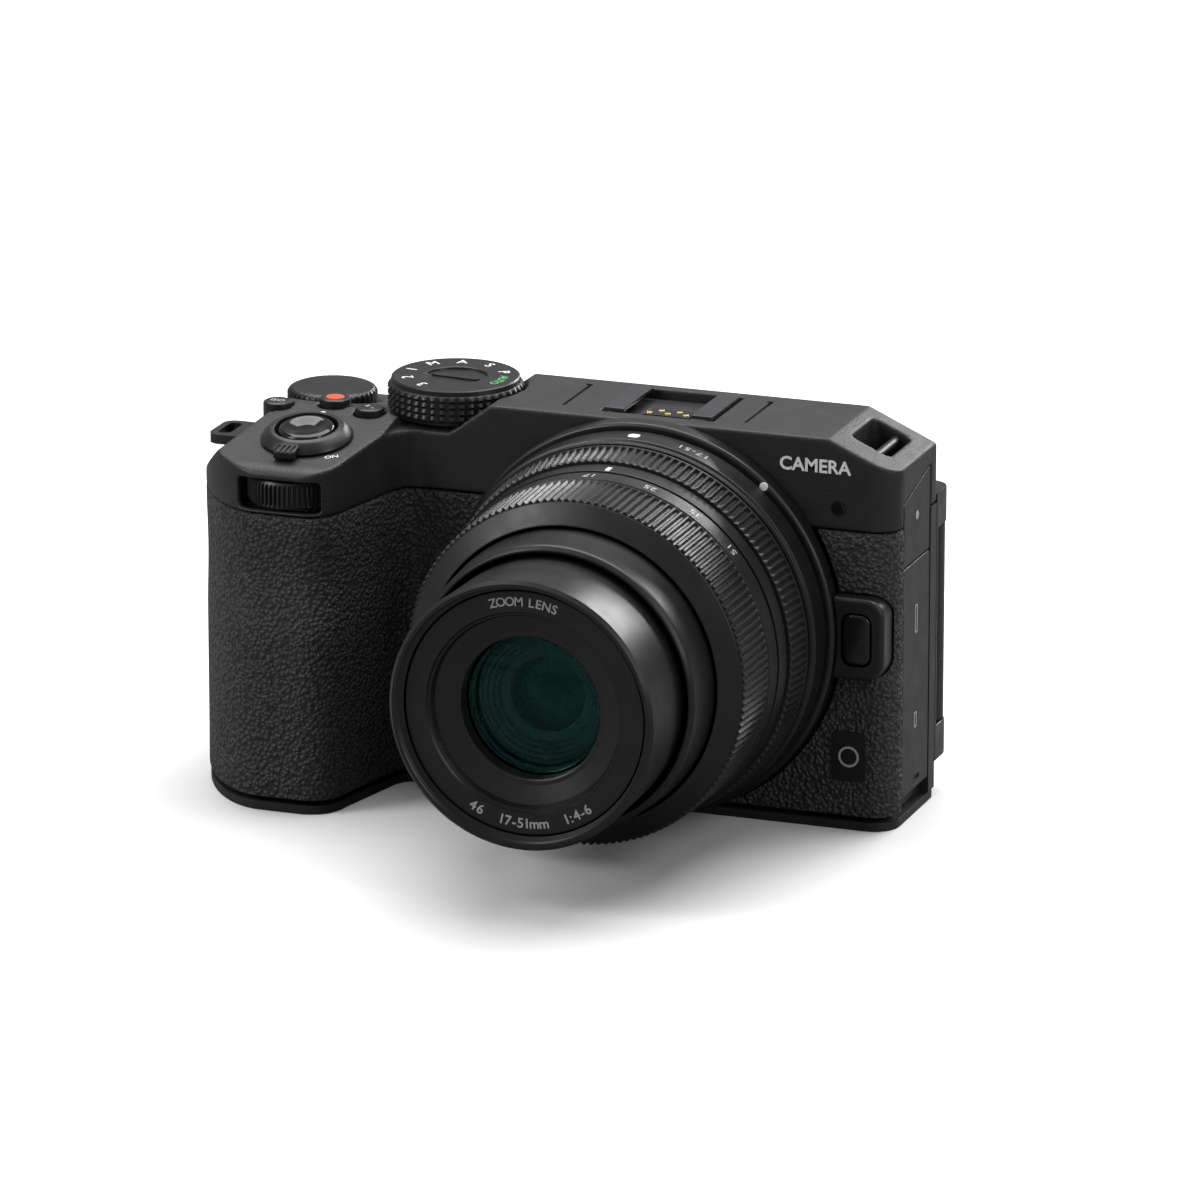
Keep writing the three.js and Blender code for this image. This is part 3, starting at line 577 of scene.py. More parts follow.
def kept(node, finish, width=0.25 * MM):
    """A CAD node that stays: softened edges and a finish of its own."""
    piece = bpy.data.objects[node]
    edge = piece.modifiers.new("edges", "BEVEL")
    edge.width = width
    edge.segments = 2
    edge.limit_method = "ANGLE"
    edge.angle_limit = math.radians(35)
    for slot in piece.material_slots:
        slot.material = FINISHES[finish]


def circle(radius, x=0.0, y=0.0, steps=96):
    return arc(x, y, radius, 0, 360 - 360 / steps, steps - 1)


def drum(name, place, radius, start, end, steps=96):
    return prism(name, circle(radius, steps=steps), place, start, end)


def text_mesh(words, height, weight=0.0):
    """Words as a thin raised mesh in the XY plane, capitals height tall, centred on the origin."""
    font = bpy.data.curves.new("words", "FONT")
    font.body = words
    font.align_x = "CENTER"
    font.align_y = "CENTER"
    font.resolution_u = 3
    capital = 0.69
    font.size = height / capital
    font.offset = weight * height
    font.extrude = 0.02 * MM
    holder = bpy.data.objects.new("words", font)
    bpy.context.scene.collection.objects.link(holder)
    bpy.context.view_layer.update()
    graph = bpy.context.evaluated_depsgraph_get()
    mesh = bpy.data.meshes.new_from_object(holder.evaluated_get(graph))
    bpy.data.objects.remove(holder)
    return mesh


def lettering(name, node, finish, words):
    """One object from a list of (text, place, height) or (text, place, height, weight)."""
    work = bmesh.new()
    for entry in words:
        text, place, height = entry[:3]
        mesh = text_mesh(text, height, *entry[3:])
        mesh.transform(place)
        work.from_mesh(mesh)
    mesh = bpy.data.meshes.new(name)
    work.to_mesh(mesh)
    work.free()
    piece = bpy.data.objects.new(name, mesh)
    bpy.context.scene.collection.objects.link(piece)
    return detail(piece, node, finish)


def around(place, words, radius, height, middle, size, inward=False):
    """Letters along a circle on a face, their tops pointing outward. Angles in degrees from the right."""
    narrow, wide = "1:.-,I ", "MOmAN"
    widths = [0.52 if letter in narrow else 1.06 if letter in wide else 0.84 for letter in words]
    run = -sum(widths) / 2
    result = []
    for letter, width in zip(words, widths):
        along = (run + width / 2) * size / radius
        run += width
        turn = math.radians(middle) + (along if inward else -along)
        lean = turn + (math.pi / 2 if inward else -math.pi / 2)
        spot = Matrix.Translation((radius * math.cos(turn), radius * math.sin(turn), height))
        result.append((letter, place @ spot @ Matrix.Rotation(lean, 4, "Z"), size, 0.02))
    return result


# ---------------------------------------------------------------- body outlines

def body_outline(inset=0.0):
    """Plan outline of the body with the grip, moved inward. Every inset gives as many points."""
    right = RIGHT - inset
    left = LEFT + inset
    front = FRONT + inset
    thumb = THUMB_BACK - inset
    grip = GRIP_FRONT + inset
    knee = THUMB_X - inset
    corner = 5 * MM - inset
    heel = 6 * MM
    nose_start = (LEFT + 18.5 * MM, grip)
    nose_end = (LEFT + 25.5 * MM, grip)
    cheek = (LEFT + 32.5 * MM - inset, FRONT - 18 * MM)
    root = (LEFT + 35.7 * MM - inset, FRONT - 4 * MM)
    flat = (LEFT + 40.5 * MM, front)
    points = arc(right - corner, front + corner, corner, -90, 0)
    points += [(right, BACK - inset), (knee, BACK - inset), (knee - 2 * MM, thumb)]
    points += arc(left + heel, thumb - heel, heel, 90, 180)
    points += [(left, FRONT)]
    points += curve([(left, FRONT), (left + 0.5 * MM, FRONT - 9 * MM), (LEFT + 9.5 * MM, grip), nose_start], 18)
    points += [nose_start, nose_end]
    points += curve([nose_end, (LEFT + 31.7 * MM - inset, grip), cheek])
    points += [cheek, root]
    points += curve([root, (LEFT + 36.5 * MM - inset, front), flat])
    return points + [flat]


def body_wall(name, outer, inner, start, end):
    """Ring between two insets of the body outline."""
    wall = prism(name, body_outline(outer), PLAN, start, end)
    return carve(wall, prism("inside", body_outline(inner), PLAN, start - WALL, end + WALL))


def above_deck(inset):
    """Space left free above the grip head and under the mode dial."""
    lip = (GRIP_FRONT + inset, LIP_Z - 1.6 * MM - inset)
    crest = (GRIP_FRONT + 4 * MM, LIP_Z + 4 * MM * math.tan(DECK_TILT) - inset)
    deck = [(-FAR, lip[1]), lip]
    deck += curve([lip, (GRIP_FRONT + inset, LIP_Z + 0.3 * MM - inset), crest])
    deck += [crest, (RIDGE[0], RIDGE[1] - inset), (STEP[0], STEP[1] - inset)]
    deck += [(THUMB_BACK, TAIL_Z - inset), (FAR, TAIL_Z - inset), (FAR, FAR), (-FAR, FAR)]
    notch = [(HEAD_X - inset, NOTCH_Z - inset), (NOTCH_X + inset, NOTCH_Z - inset)]
    notch += [(ROOF_LEFT + inset, TOP - inset), (ROOF_LEFT + inset, FAR), (HEAD_X - inset, FAR)]
    space = prism("above", deck, SIDE, -FAR, HEAD_X)
    return carve(space, prism("notch", notch, ELEVATION, -FAR, FAR), "UNION")


def top_silhouette(inset):
    """Front view of the top cover: a rounded left shoulder and a chamfered right corner."""
    left = LEFT + inset
    crown = RIDGE[1] - inset
    shoulder = (SHOULDER_X, crown)
    points = [(left, 0), (RIGHT - inset, 0), (RIGHT - inset, CHAMFER_Z - inset)]
    points += [(ROOF_RIGHT - inset / 2, TOP - inset), (SHOULDER_X, TOP - inset), shoulder]
    bend = (SHOULDER_BEND[0] + inset / 2, SHOULDER_BEND[1] - inset)
    edge = (left, SHOULDER_Z - inset / 2)
    return points + curve([shoulder, bend, edge], 16) + [edge]


def top_envelope(name, inset, start):
    shape = prism(name, body_outline(inset), PLAN, start, TOP - inset)
    carve(shape, prism("front_view", top_silhouette(inset), ELEVATION, -FAR, FAR), "INTERSECT")
    carve(shape, above_deck(inset))
    for node in ("mode_dial", "main_command_dial"):
        spot = centre(node)
        radius = spot.x - low(node).x + 2 * GAP + inset
        carve(shape, drum("pocket", upright(spot.x, spot.y), radius, low(node).z - GAP - inset, FAR))
    return shape


def deck_height(y):
    """Height of the grip head's deck at a depth."""
    if y < RIDGE[0]:
        return RIDGE[1] - (RIDGE[0] - y) * math.tan(DECK_TILT)
    return RIDGE[1] - (y - RIDGE[0]) * (RIDGE[1] - STEP[1]) / (STEP[0] - RIDGE[0])


def shutter_seat():
    spot = centre("shutter_button")
    y = MOUNT - 7 * MM
    return Matrix.Translation((spot.x, y, deck_height(y))) @ Matrix.Rotation(DECK_TILT, 4, "X")


SEAT = shutter_seat()


# ---------------------------------------------------------------- covers

def top_cover():
    """Moulded top shell with its dial pockets, windows, strap well and microphone slots."""
    cover = top_envelope("top_cover", 0.0, SEAM)
    carve(cover, top_envelope("inside", WALL, SEAM - WALL))
    shoe = centre("hot_shoe")
    bed = block("bed", (shoe.x - 12 * MM, FRONT + 1 * MM, TOP - 4.6 * MM),
                (shoe.x + 12 * MM, BACK - 1 * MM, TOP - 1 * MM))
    carve(cover, bed, "UNION")
    bar = centre("strap_bar_right")
    well = block("well", (bar.x - 5.6 * MM, bar.y - 7.7 * MM, TOP - 10.8 * MM),
                 (bar.x + 4.4 * MM, bar.y + 7.7 * MM, TOP - 1 * MM))
    carve(well, top_envelope("limit", 0.0, SEAM), "INTERSECT")
    carve(cover, well, "UNION")
    groove = block("groove", (low("hot_shoe").x - 0.4 * MM, FRONT + 4 * MM, low("hot_shoe").z - GAP),
                   (high("hot_shoe").x + 0.4 * MM, high("hot_shoe").y + 0.4 * MM, FAR))
    carve(cover, groove)
    hollow = round_rect(bar.x - 4.2 * MM, bar.x + 2.9 * MM, bar.y - 6.3 * MM, bar.y + 6.3 * MM, 1.2 * MM)
    carve(cover, prism("hollow", hollow, PLAN, TOP - 9.4 * MM, FAR))
    carve(cover, drum("throat", LENS, high("mount_ring").x + 2 * GAP, -8 * MM, 8 * MM))
    dial = centre("sub_command_dial")
    window = round_rect(dial.x - 7.7 * MM, dial.x + 7.7 * MM, low("sub_command_dial").z - 0.4 * MM,
                        high("sub_command_dial").z + 0.5 * MM, 0.8 * MM)
    carve(cover, prism("window", window, ELEVATION, -FAR, dial.y - 1.5 * MM))
    carve(cover, drum("shaft", SEAT, high("shutter_button").x - centre("shutter_button").x + GAP,
                      -8 * MM, 8 * MM))
    ring = low("strap_loop_left")
    carve(cover, block("slit", (LEFT - WALL, ring.y - GAP, ring.z - GAP),
                       (LEFT + 4 * MM, high("strap_loop_left").y + GAP, high("strap_loop_left").z + GAP)))
    for node in TOP_BUTTONS:
        radius = high(node).x - centre(node).x + GAP
        carve(cover, drum("hole", upright(centre(node).x, centre(node).y), radius, SEAM, FAR))
    recess = low("mic_cover").x - GAP
    panel = low("mic_cover").y - GAP
    carve(cover, prism("side", panel_outline(GAP), SIDE, recess, FAR))
    soften(cover, 0.33 * MM, 5, 0.3)
    for x in (-17.8 * MM, 16.1 * MM):
        carve(cover, block("slot", (x - 0.3 * MM, MOUNT + 9 * MM, TOP - 0.6 * MM),
                           (x + 0.3 * MM, MOUNT + 23.6 * MM, FAR)))
        carve(cover, block("hook", (x - 0.9 * MM, MOUNT + 22.8 * MM, TOP - 0.6 * MM),
                           (x + 0.3 * MM, MOUNT + 23.6 * MM, FAR)))
    shade(cover.data, math.radians(60))
    dress(cover, "top_cover", "cover")


def panel_outline(margin, lowest=None, split=None):
    """Side view of the socket covers: straight sides and a slanted top edge."""
    front = low("mic_cover").y - margin
    back = high("mic_cover").y + margin
    bottom = (low("port_cover").z if lowest is None else lowest) - margin
    if split is not None:
        return [(front, bottom), (back, bottom), (back, split), (front, split)]
    return [(front, bottom), (back, bottom), (back, high("mic_cover").z + margin),
            (front, high("mic_cover").z - 3.6 * MM + margin)]


TOP_BUTTONS = ("record_button", "iso_button", "exposure_button")
REAR_BUTTONS = ("play_button", "delete_button", "zoom_in_button", "zoom_out_button", "menu_button")
FRONT_BUTTONS = ("fn1_button", "fn2_button")


def boss_outline(margin):
    """Front view of the pad around the lens release."""
    spot = centre("lens_release_button")
    left = spot.x - 8.45 * MM - margin
    right = spot.x + 4.95 * MM + margin
    bottom = spot.z - 7.5 * MM - margin
    return round_rect(left, right, bottom, bottom + 15 * MM + 2 * margin, 3.5 * MM + margin, 10)


def front_cover():
    """Front wall behind the skins, the bare right corner and the pad around the lens release."""
    behind = SKIN + GAP
    deeper = behind + 1.6 * MM
    cover = body_wall("front_cover", deeper, deeper + WALL, COVER_BOTTOM, COVER_TOP)
    ahead = block("ahead", (-FAR, -FAR, 0), (FAR, low("mic_cover").y - GAP, FAR))
    carve(ahead, block("half", (-FAR, 0, 0), (RIGHT - 2.9 * MM, BODY_SPLIT, FAR)), "UNION")
    carve(cover, ahead, "INTERSECT")
    front_lip(cover)
    bevel(cover, 0.25 * MM, 2)
    dress(cover, "front_cover", "satin")
    boss = prism("release_pad", boss_outline(0), ELEVATION, MOUNT + 1.2 * MM, FRONT + deeper + WALL / 2)
    bevel(boss, 0.9 * MM, 4)
    well = round_rect(low("lens_release_button").x - GAP, high("lens_release_button").x + GAP,
                      low("lens_release_button").z - GAP, high("lens_release_button").z + GAP, 2 * MM)
    carve(boss, prism("well", well, ELEVATION, -FAR, FAR))
    carve(boss, drum("lens", LENS, high("mount_trim").x + GAP, -FAR, FAR))
    shade(boss.data)
    detail(boss, "front_cover", "satin")


def front_lip(cover):
    """Openings of the front cover: lens, release button and function buttons."""
    carve(cover, drum("rim", LENS, high("mount_trim").x + GAP, MOUNT - FRONT + GAP / 2, FAR))
    carve(cover, drum("throat", LENS, high("mount_ring").x + 2 * GAP, -10 * MM, FAR))
    well = round_rect(low("lens_release_button").x - GAP, high("lens_release_button").x + GAP,
                      low("lens_release_button").z - GAP, high("lens_release_button").z + GAP, 2 * MM)
    carve(cover, prism("well", well, ELEVATION, -FAR, FRONT + 6 * MM))
    for node in FRONT_BUTTONS:
        radius = high(node).x - centre(node).x + GAP
        place = facing_front(centre(node).x, FRONT, centre(node).z)
        carve(cover, drum("hole", place, radius, -6 * MM, 6 * MM))


def skin_band(name):
    """Closed rubber band that follows the body outline, with rounded upper and lower edges."""
    start = COVER_BOTTOM + 0.6 * MM
    end = COVER_TOP
    rows = [(start, 0.45), (start + 0.15 * MM, 0.15), (start + 0.5 * MM, 0.0)]
    steps = 26
    span = end - start - 1 * MM
    rows += [(start + 0.5 * MM + span * k / steps, 0.0) for k in range(1, steps + 1)]
    rows += [(end - 0.15 * MM, 0.15), (end, 0.45)]
    loops = [[(x, y, z) for x, y in body_outline(inset * MM)] for z, inset in rows]
    loops += [[(x, y, z) for x, y in body_outline(SKIN)] for z, _ in reversed(rows)]
    count = len(loops[0])
    vertices = [point for loop in loops for point in loop]
    faces = []
    for row in range(len(loops)):
        below = row * count
        above = (row + 1) % len(loops) * count
        for k in range(count):
            m = (k + 1) % count
            faces.append((below + k, below + m, above + m, above + k))
    return add_mesh(name, vertices, faces)


def hollow_grip(piece):
    """Draws the grip's front in below the head, where the fingers lie."""
    middle = SEAM - 12 * MM
    reach = 11 * MM
    deepest = 1.5 * MM
    for vertex in piece.data.vertices:
        share = max(0.0, 1 - ((vertex.co.z - middle) / reach) ** 2) ** 2
        front = (FRONT - vertex.co.y) / (FRONT - GRIP_FRONT)
        if front > 0:
            vertex.co.y += deepest * share * front
            vertex.co.x -= 0.5 * deepest * share * front * (vertex.co.x > LEFT + 26 * MM)


def rubber_skins():
    grip = skin_band("grip_rubber")
    carve(grip, block("half", (-FAR, -FAR, 0), (LEFT + 52.5 * MM, BODY_SPLIT, FAR)), "INTERSECT")
    carve(grip, drum("lens", LENS, high("mount_trim").x + 2 * GAP, -FAR, MOUNT - FRONT + 3 * MM, 160))
    for node in FRONT_BUTTONS:
        place = facing_front(centre(node).x, FRONT, centre(node).z)
        carve(grip, drum("hole", place, high(node).x - centre(node).x + GAP, -6 * MM, 6 * MM))
    hollow_grip(grip)
    shade(grip.data)
    dress(grip, "grip_rubber", "rubber")
    patch = skin_band("leatherette")
    carve(patch, block("side", (AXIS.x + 12 * MM, -FAR, 0), (FAR, low("mic_cover").y - GAP, FAR)), "INTERSECT")
    carve(patch, drum("lens", LENS, high("mount_trim").x + 2 * GAP, -FAR, FAR, 160))
    carve(patch, prism("pad", boss_outline(GAP), ELEVATION, -FAR, FAR))
    shade(patch.data)
    dress(patch, "leatherette", "rubber")


def rear_cover():
    """Rear shell with the thumb ledge, the button holes and the socket bay's wall."""
    cover = body_wall("rear_cover", 0, WALL, COVER_BOTTOM, COVER_TOP)
    carve(cover, block("half", (-FAR, BODY_SPLIT + GAP, 0), (FAR, FAR, FAR)), "INTERSECT")
    recess = low("mic_cover").x - GAP
    panel_back = high("mic_cover").y + GAP
    carve(cover, block("bay", (recess - 1 * MM, -FAR, 0), (FAR, panel_back, FAR)))
    wall = block("wall", (recess - WALL, low("mic_cover").y, COVER_BOTTOM), (recess, BACK - 1 * MM, COVER_TOP))
    carve(cover, wall, "UNION")
    sockets = centre("port_block")
    for z0, z1 in ((12 * MM, 44 * MM), (48.5 * MM, 54 * MM)):
        hole = block("hole", (recess - 3 * MM, sockets.y - 4.1 * MM, z0), (FAR, sockets.y + 3.9 * MM, z1))
        carve(cover, hole)
    for node in REAR_BUTTONS:
        place = facing_back(centre(node).x, BACK, centre(node).z)
        carve(cover, drum("hole", place, high(node).x - centre(node).x + GAP, 0, FAR))
    pad = centre("multi_selector")
    carve(cover, drum("pad", facing_back(pad.x, BACK, pad.z), high("multi_selector").x - pad.x - 2 * MM, 0, FAR))
    slide = centre("photo_movie_selector")
    carve(cover, block("slide", (slide.x - 2.5 * MM, BACK, slide.z - 0.7 * MM),
                       (slide.x + 5.5 * MM, FAR, slide.z + 0.7 * MM)))
    bevel(cover, 0.5 * MM, 3)
    dress(cover, "rear_cover", "panel")


def base_plate():
    door = low("battery_door") - Vector((1, 1, 0)) * GAP
    far_corner = high("battery_door") + Vector((1, 1, 0)) * GAP
    base = prism("base_plate", body_outline(GAP), PLAN, 0, high("base_plate").z)
    opening = prism("opening", body_outline(2.3 * MM), PLAN, -WALL, 2 * WALL)
    limit = block("limit", (door.x, door.y, -FAR), (far_corner.x, far_corner.y, FAR))
    carve(base, carve(opening, limit, "INTERSECT"))
    socket = centre("tripod_socket")
    radius = high("tripod_socket").x - socket.x
    carve(base, drum("socket", upright(socket.x, socket.y), radius + GAP, -WALL, 2 * WALL))
    bevel(base, 0.3 * MM, 2)
    dress(base, "base_plate", "panel")
    tripod_socket(socket, radius)
    lid = prism("battery_door", body_outline(2.6 * MM), PLAN, low("battery_door").z, high("battery_door").z)
    box = block("limit", low("battery_door") - Vector((0, 0, WALL)), high("battery_door") + Vector((0, 0, WALL)))
    carve(lid, box, "INTERSECT")
    latch = centre("battery_latch")
    carve(lid, block("seat", (latch.x - 3.5 * MM, latch.y - 3.5 * MM, -WALL),
                     (latch.x + 3.5 * MM, latch.y + 3.5 * MM, 1 * MM)))
    bevel(lid, 0.25 * MM, 2)
    dress(lid, "battery_door", "panel")
    slider = block("battery_latch", low("battery_latch"), high("battery_latch"))
    for k in range(-2, 3):
        y = latch.y + k * 1.0 * MM
        carve(slider, block("rib", (latch.x - FAR, y - 0.2 * MM, -WALL), (latch.x + FAR, y + 0.2 * MM, 0.42 * MM)))
    dress(slider, "battery_latch", "satin")


def tripod_socket(spot, radius):
    """Steel bush with a real screw thread's grooves in its bore."""
    bore = 3.1 * MM
    depth = 5.5 * MM
    pitch = 1.27 * MM
    cap = high("tripod_socket").z
    profile = [(0, depth), (0, cap), (radius - 1 * MM, cap), (radius - 1 * MM, WALL)]
    profile += [(radius, WALL), (radius, 0.2 * MM), (radius - 0.2 * MM, 0), (bore + 0.4 * MM, 0)]
    profile += [(bore, 0.4 * MM)]
    for k in range(4):
        z = 0.4 * MM + k * pitch
        profile += [(bore + 0.01 * MM, z + 0.1 * MM), (bore + 0.45 * MM, z + pitch / 2), (bore, z + pitch * 0.9)]
    bush = revolve("tripod_socket", upright(spot.x, spot.y), profile, 96)
    dress(bush, "tripod_socket", "steel")


# ---------------------------------------------------------------- lens

def ribbed(outer, cut, step, per_rib):
    """Radius of a ribbed ring: the groove takes the last part of every rib."""
    phase = step % per_rib
    return outer - cut * (0.0, 0.0, 1.0, 1.0)[phase] if per_rib == 4 else outer


def lens_base():
    """Fixed barrel: wide base ring, the band with the index mark, and the inner tube."""
    front = MOUNT - low("lens_base_barrel").y
    outer = high("lens_base_barrel").x
    groove = 30.9 * MM
    tube = 28.9 * MM
    bore = 27.6 * MM
    profile = [(bore, 1.4), (31.9, 1.4), (31.9, 0.6), (34.5, 0.6), (34.45, 5.9), (33.9, 6.2), (33.9, 7.1)]
    profile = [(r if r is bore else r * MM, h * MM) for r, h in profile]
    profile[3] = (outer, profile[3][1])
    profile += [(groove, 7.1 * MM), (groove, 14.3 * MM), (32.1 * MM, 14.3 * MM), (31.8 * MM, 17.6 * MM)]
    profile += [(tube, 17.6 * MM), (tube, front), (bore, front)]
    barrel = revolve("lens_base_barrel", LENS, rounded(profile, 0.18 * MM, 2), 240)
    dress(barrel, "lens_base_barrel", "lens")


def control_ring():
    """Narrow customisable ring with deep straight ribs."""
    back = MOUNT - high("control_ring").y
    front = MOUNT - low("control_ring").y
    outer = high("control_ring").x
    inner = outer - 2.5 * MM
    lip = outer - 0.8 * MM

    def profile(step):
        cut = 0.5 * MM if step % 4 > 1 else 0.0
        return [(inner, back), (outer - 0.35 * MM, back), (outer, back + 0.3 * MM), (outer - 0.05 * MM, back + 0.7 * MM),
                (outer - 0.08 * MM - cut, back + 0.8 * MM), (lip + 0.12 * MM - cut, front - 0.9 * MM),
                (lip + 0.1 * MM - cut * 0.8, front - 0.35 * MM), (lip - 0.25 * MM - cut * 0.3, front), (inner, front)]
    ring = revolve("control_ring", LENS, profile, 150 * 4)
    dress(ring, "control_ring", "knurl")


def zoom_ring():
    """Zoom ring: a smooth band for the numbers, long ribs, and the dished front face."""
    back = MOUNT - high("zoom_ring").y
    front = MOUNT - low("zoom_ring").y
    outer = high("zoom_ring").x
    opening = 26.9 * MM
    inner = 29.2 * MM

    def profile(step):
        cut = 0.55 * MM if step % 4 > 1 else 0.0
        rib = outer - 0.1 * MM - cut
        tip = outer - 0.55 * MM - cut * 0.75
        return [(inner, back), (outer - 0.2 * MM, back), (outer, back + 0.2 * MM), (outer - 0.1 * MM, back + 3.9 * MM),
                (outer - 0.35 * MM, back + 4.1 * MM), (outer - 0.35 * MM, back + 4.4 * MM), (rib, back + 4.6 * MM),
                (rib - 0.35 * MM, front - 3.0 * MM), (tip, front - 2.5 * MM), (outer - 1.1 * MM, front - 2.45 * MM),
                (outer - 1.25 * MM, front - 2.2 * MM), (opening + 0.3 * MM, front - 0.05 * MM), (opening, front),
                (opening, front - 1.6 * MM), (inner, front - 3.3 * MM)]
    ring = revolve("zoom_ring", LENS, profile, 144 * 4)
    dress(ring, "zoom_ring", "knurl")


def zoom_scale():
    """Focal lengths round the zoom ring, read from behind the camera."""
    radius = high("zoom_ring").x - 0.04 * MM
    height = MOUNT - high("zoom_ring").y + 1.9 * MM
    marks = []
    for words, degrees in (("17", 94.0), ("25", 73.7), ("35", 57.1), ("51", 41.2)):
        turn = math.radians(degrees)
        place = LENS @ Matrix.Rotation(turn, 4, "Z") @ Matrix.Translation((radius, 0, height))
        face = Matrix(((0, 0, 1, 0), (1, 0, 0, 0), (0, 1, 0, 0), (0, 0, 0, 1)))
        marks.append((words, place @ face, 1.7 * MM, 0.01))
    lettering("zoom_numbers", "zoom_ring", "grey", marks)


def radial_tile(name, radius, degrees, start, end, width):
    """Thin raised patch on a cylinder about the lens axis."""
    turn = math.radians(degrees)
    place = LENS @ Matrix.Rotation(turn, 4, "Z")
    rise = 0.03 * MM
    half = width / 2
    outline = round_rect(-half, half, start, end, half * 0.6, 4)
    face = Matrix(((0, 0, 1, 0), (1, 0, 0, 0), (0, 1, 0, 0), (0, 0, 0, 1)))
    return prism(name, outline, place @ face, radius - 0.15 * MM, radius + rise)


def lens_marks():
    tick = radial_tile("index_tick", 31.95 * MM, 90, 14.6 * MM, 17.6 * MM, 0.8 * MM)
    detail(tick, "lens_base_barrel", "white")
    dot = radial_tile("mounting_dot", 34.5 * MM, 90, 2.6 * MM, 4.6 * MM, 2.0 * MM)
    detail(dot, "lens_base_barrel", "white")
    face = Matrix(((0, 0, 1, 0), (1, 0, 0, 0), (0, 1, 0, 0), (0, 0, 0, 1)))
    words = []
    for letter, degrees in zip("17-51", (67.3, 69.5, 71.4, 73.3, 75.5)):
        place = LENS @ Matrix.Rotation(math.radians(degrees), 4, "Z") @ Matrix.Translation((34.52 * MM, 0, 3.6 * MM))
        words.append((letter, place @ face, 1.5 * MM, 0.01))
    lettering("barrel_range", "lens_base_barrel", "grey", words)
    turn = math.radians(49.5)
    spot = LENS @ Matrix.Translation((34.85 * MM * math.cos(turn), 34.85 * MM * math.sin(turn), 0))
    index = disc("mount_index", spot, 0.75 * MM, -0.3 * MM, 0.08 * MM, 0.05 * MM, 32)
    detail(index, "mount_trim", "white")


def mount_rings():
    outer = high("mount_trim").x
    inner = 32.6 * MM
    back = MOUNT - high("mount_trim").y
    profile = [(inner, back), (inner, -0.5 * MM), (inner + 0.5 * MM, 0), (outer - 0.5 * MM, 0)]
    profile += [(outer, -0.5 * MM), (outer, back)]
    trim = revolve("mount_trim", LENS, rounded(profile, 0.25 * MM, 3), 200)
    dress(trim, "mount_trim", "satin")
    kept("mount_ring", "steel")
    kept("lens_mount", "steel")
    kept("lens_lock_pin", "steel")
    kept("rear_element", "glass", 0.1 * MM)


def middle_barrel():
    back = MOUNT - high("middle_barrel").y
    front = MOUNT - low("middle_barrel").y
    outer = high("middle_barrel").x
    tip = outer - 0.5 * MM
    inner = 24.6 * MM
    profile = [(inner, back), (outer, back), (outer, back + 15.9 * MM), (tip, front - 1.3 * MM)]
    profile += [(tip - 0.1 * MM, front - 0.7 * MM), (tip - 0.75 * MM, front), (inner, front)]
    barrel = revolve("middle_barrel", LENS, rounded(profile, 0.15 * MM, 2), 200)
    dress(barrel, "middle_barrel", "lens")


def front_barrel():
    """Front barrel with its bright-edged rim and the grooves of the filter thread."""
    back = MOUNT - high("front_barrel").y
    front = MOUNT - low("front_barrel").y
    outer = high("front_barrel").x
    inner = 21.9 * MM
    body = outer - 0.35 * MM
    profile = [(inner, back), (body, back), (body, front - 14 * MM), (outer - 0.08 * MM, front - 2.4 * MM)]
    profile += [(outer, front - 1.3 * MM), (outer, front - 0.65 * MM), (outer - 0.6 * MM, front)]
    profile += [(outer - 1.2 * MM, front)]
    crest = outer - 1.35 * MM
    for k in range(3):
        height = front - 0.2 * MM - k * 0.55 * MM
        profile += [(crest, height), (crest + 0.28 * MM, height - 0.28 * MM)]
    profile += [(inner, front - 2.0 * MM)]
    barrel = revolve("front_barrel", LENS, profile, 200)
    dress(barrel, "front_barrel", "lens")


def name_ring():
    """Retaining ring with the lens data, and the stepped cone down to the glass."""
    outer = high("name_ring").x
    front = MOUNT - low("name_ring").y
    back = MOUNT - high("name_ring").y
    lip = 17.3 * MM
    glass = high("front_element").x + 0.4 * MM
    profile = [(outer, back - 0.6 * MM), (outer, front - 0.1 * MM), (outer - 0.2 * MM, front)]
    profile += [(lip + 0.6 * MM, front - 0.06 * MM), (lip + 0.3 * MM, front - 0.5 * MM)]
    profile += [(lip, front - 0.55 * MM), (lip - 0.25 * MM, front - 0.95 * MM)]
    steps = 7
    start = (lip - 0.45 * MM, front - 1.6 * MM)
    end = (glass + 0.5 * MM, front - 3.2 * MM)
    for k in range(steps):
        share = k / steps
        radius = start[0] + (end[0] - start[0]) * share
        height = start[1] + (end[1] - start[1]) * share
        profile += [(radius, height), (radius - 0.28 * MM, height - 0.03 * MM)]
    profile += [(glass + 0.25 * MM, front - 3.05 * MM), (glass, front - 3.25 * MM), (glass, back)]
    ring = revolve("name_ring", LENS, profile, 200)
    dress(ring, "name_ring", "satin")
    face = front
    words = around(LENS, "ZOOM LENS", 19.7 * MM, face, 90, 1.55 * MM)
    words += around(LENS, "17-51mm", 19.7 * MM, face, 270, 1.7 * MM, True)
    words += around(LENS, "1:4-6", 19.7 * MM, face, 300, 1.7 * MM, True)
    words += around(LENS, "46", 19.7 * MM, face, 244, 1.7 * MM, True)
    lettering("lens_data", "name_ring", "grey", words)


def glass_dome(name, radius, rise, front, back, steps=16):
    """Lens element with a domed front and a dished back."""
    ball = (radius ** 2 + rise ** 2) / (2 * rise)
    profile = []
    for k in range(steps + 1):
        r = radius * k / steps
        profile.append((r, front - ball + math.sqrt(ball ** 2 - r ** 2)))
    profile += [(radius, back), (radius * 0.7, back + 0.5 * MM), (0, back + 0.9 * MM)]
    return revolve(name, LENS, profile, 128)


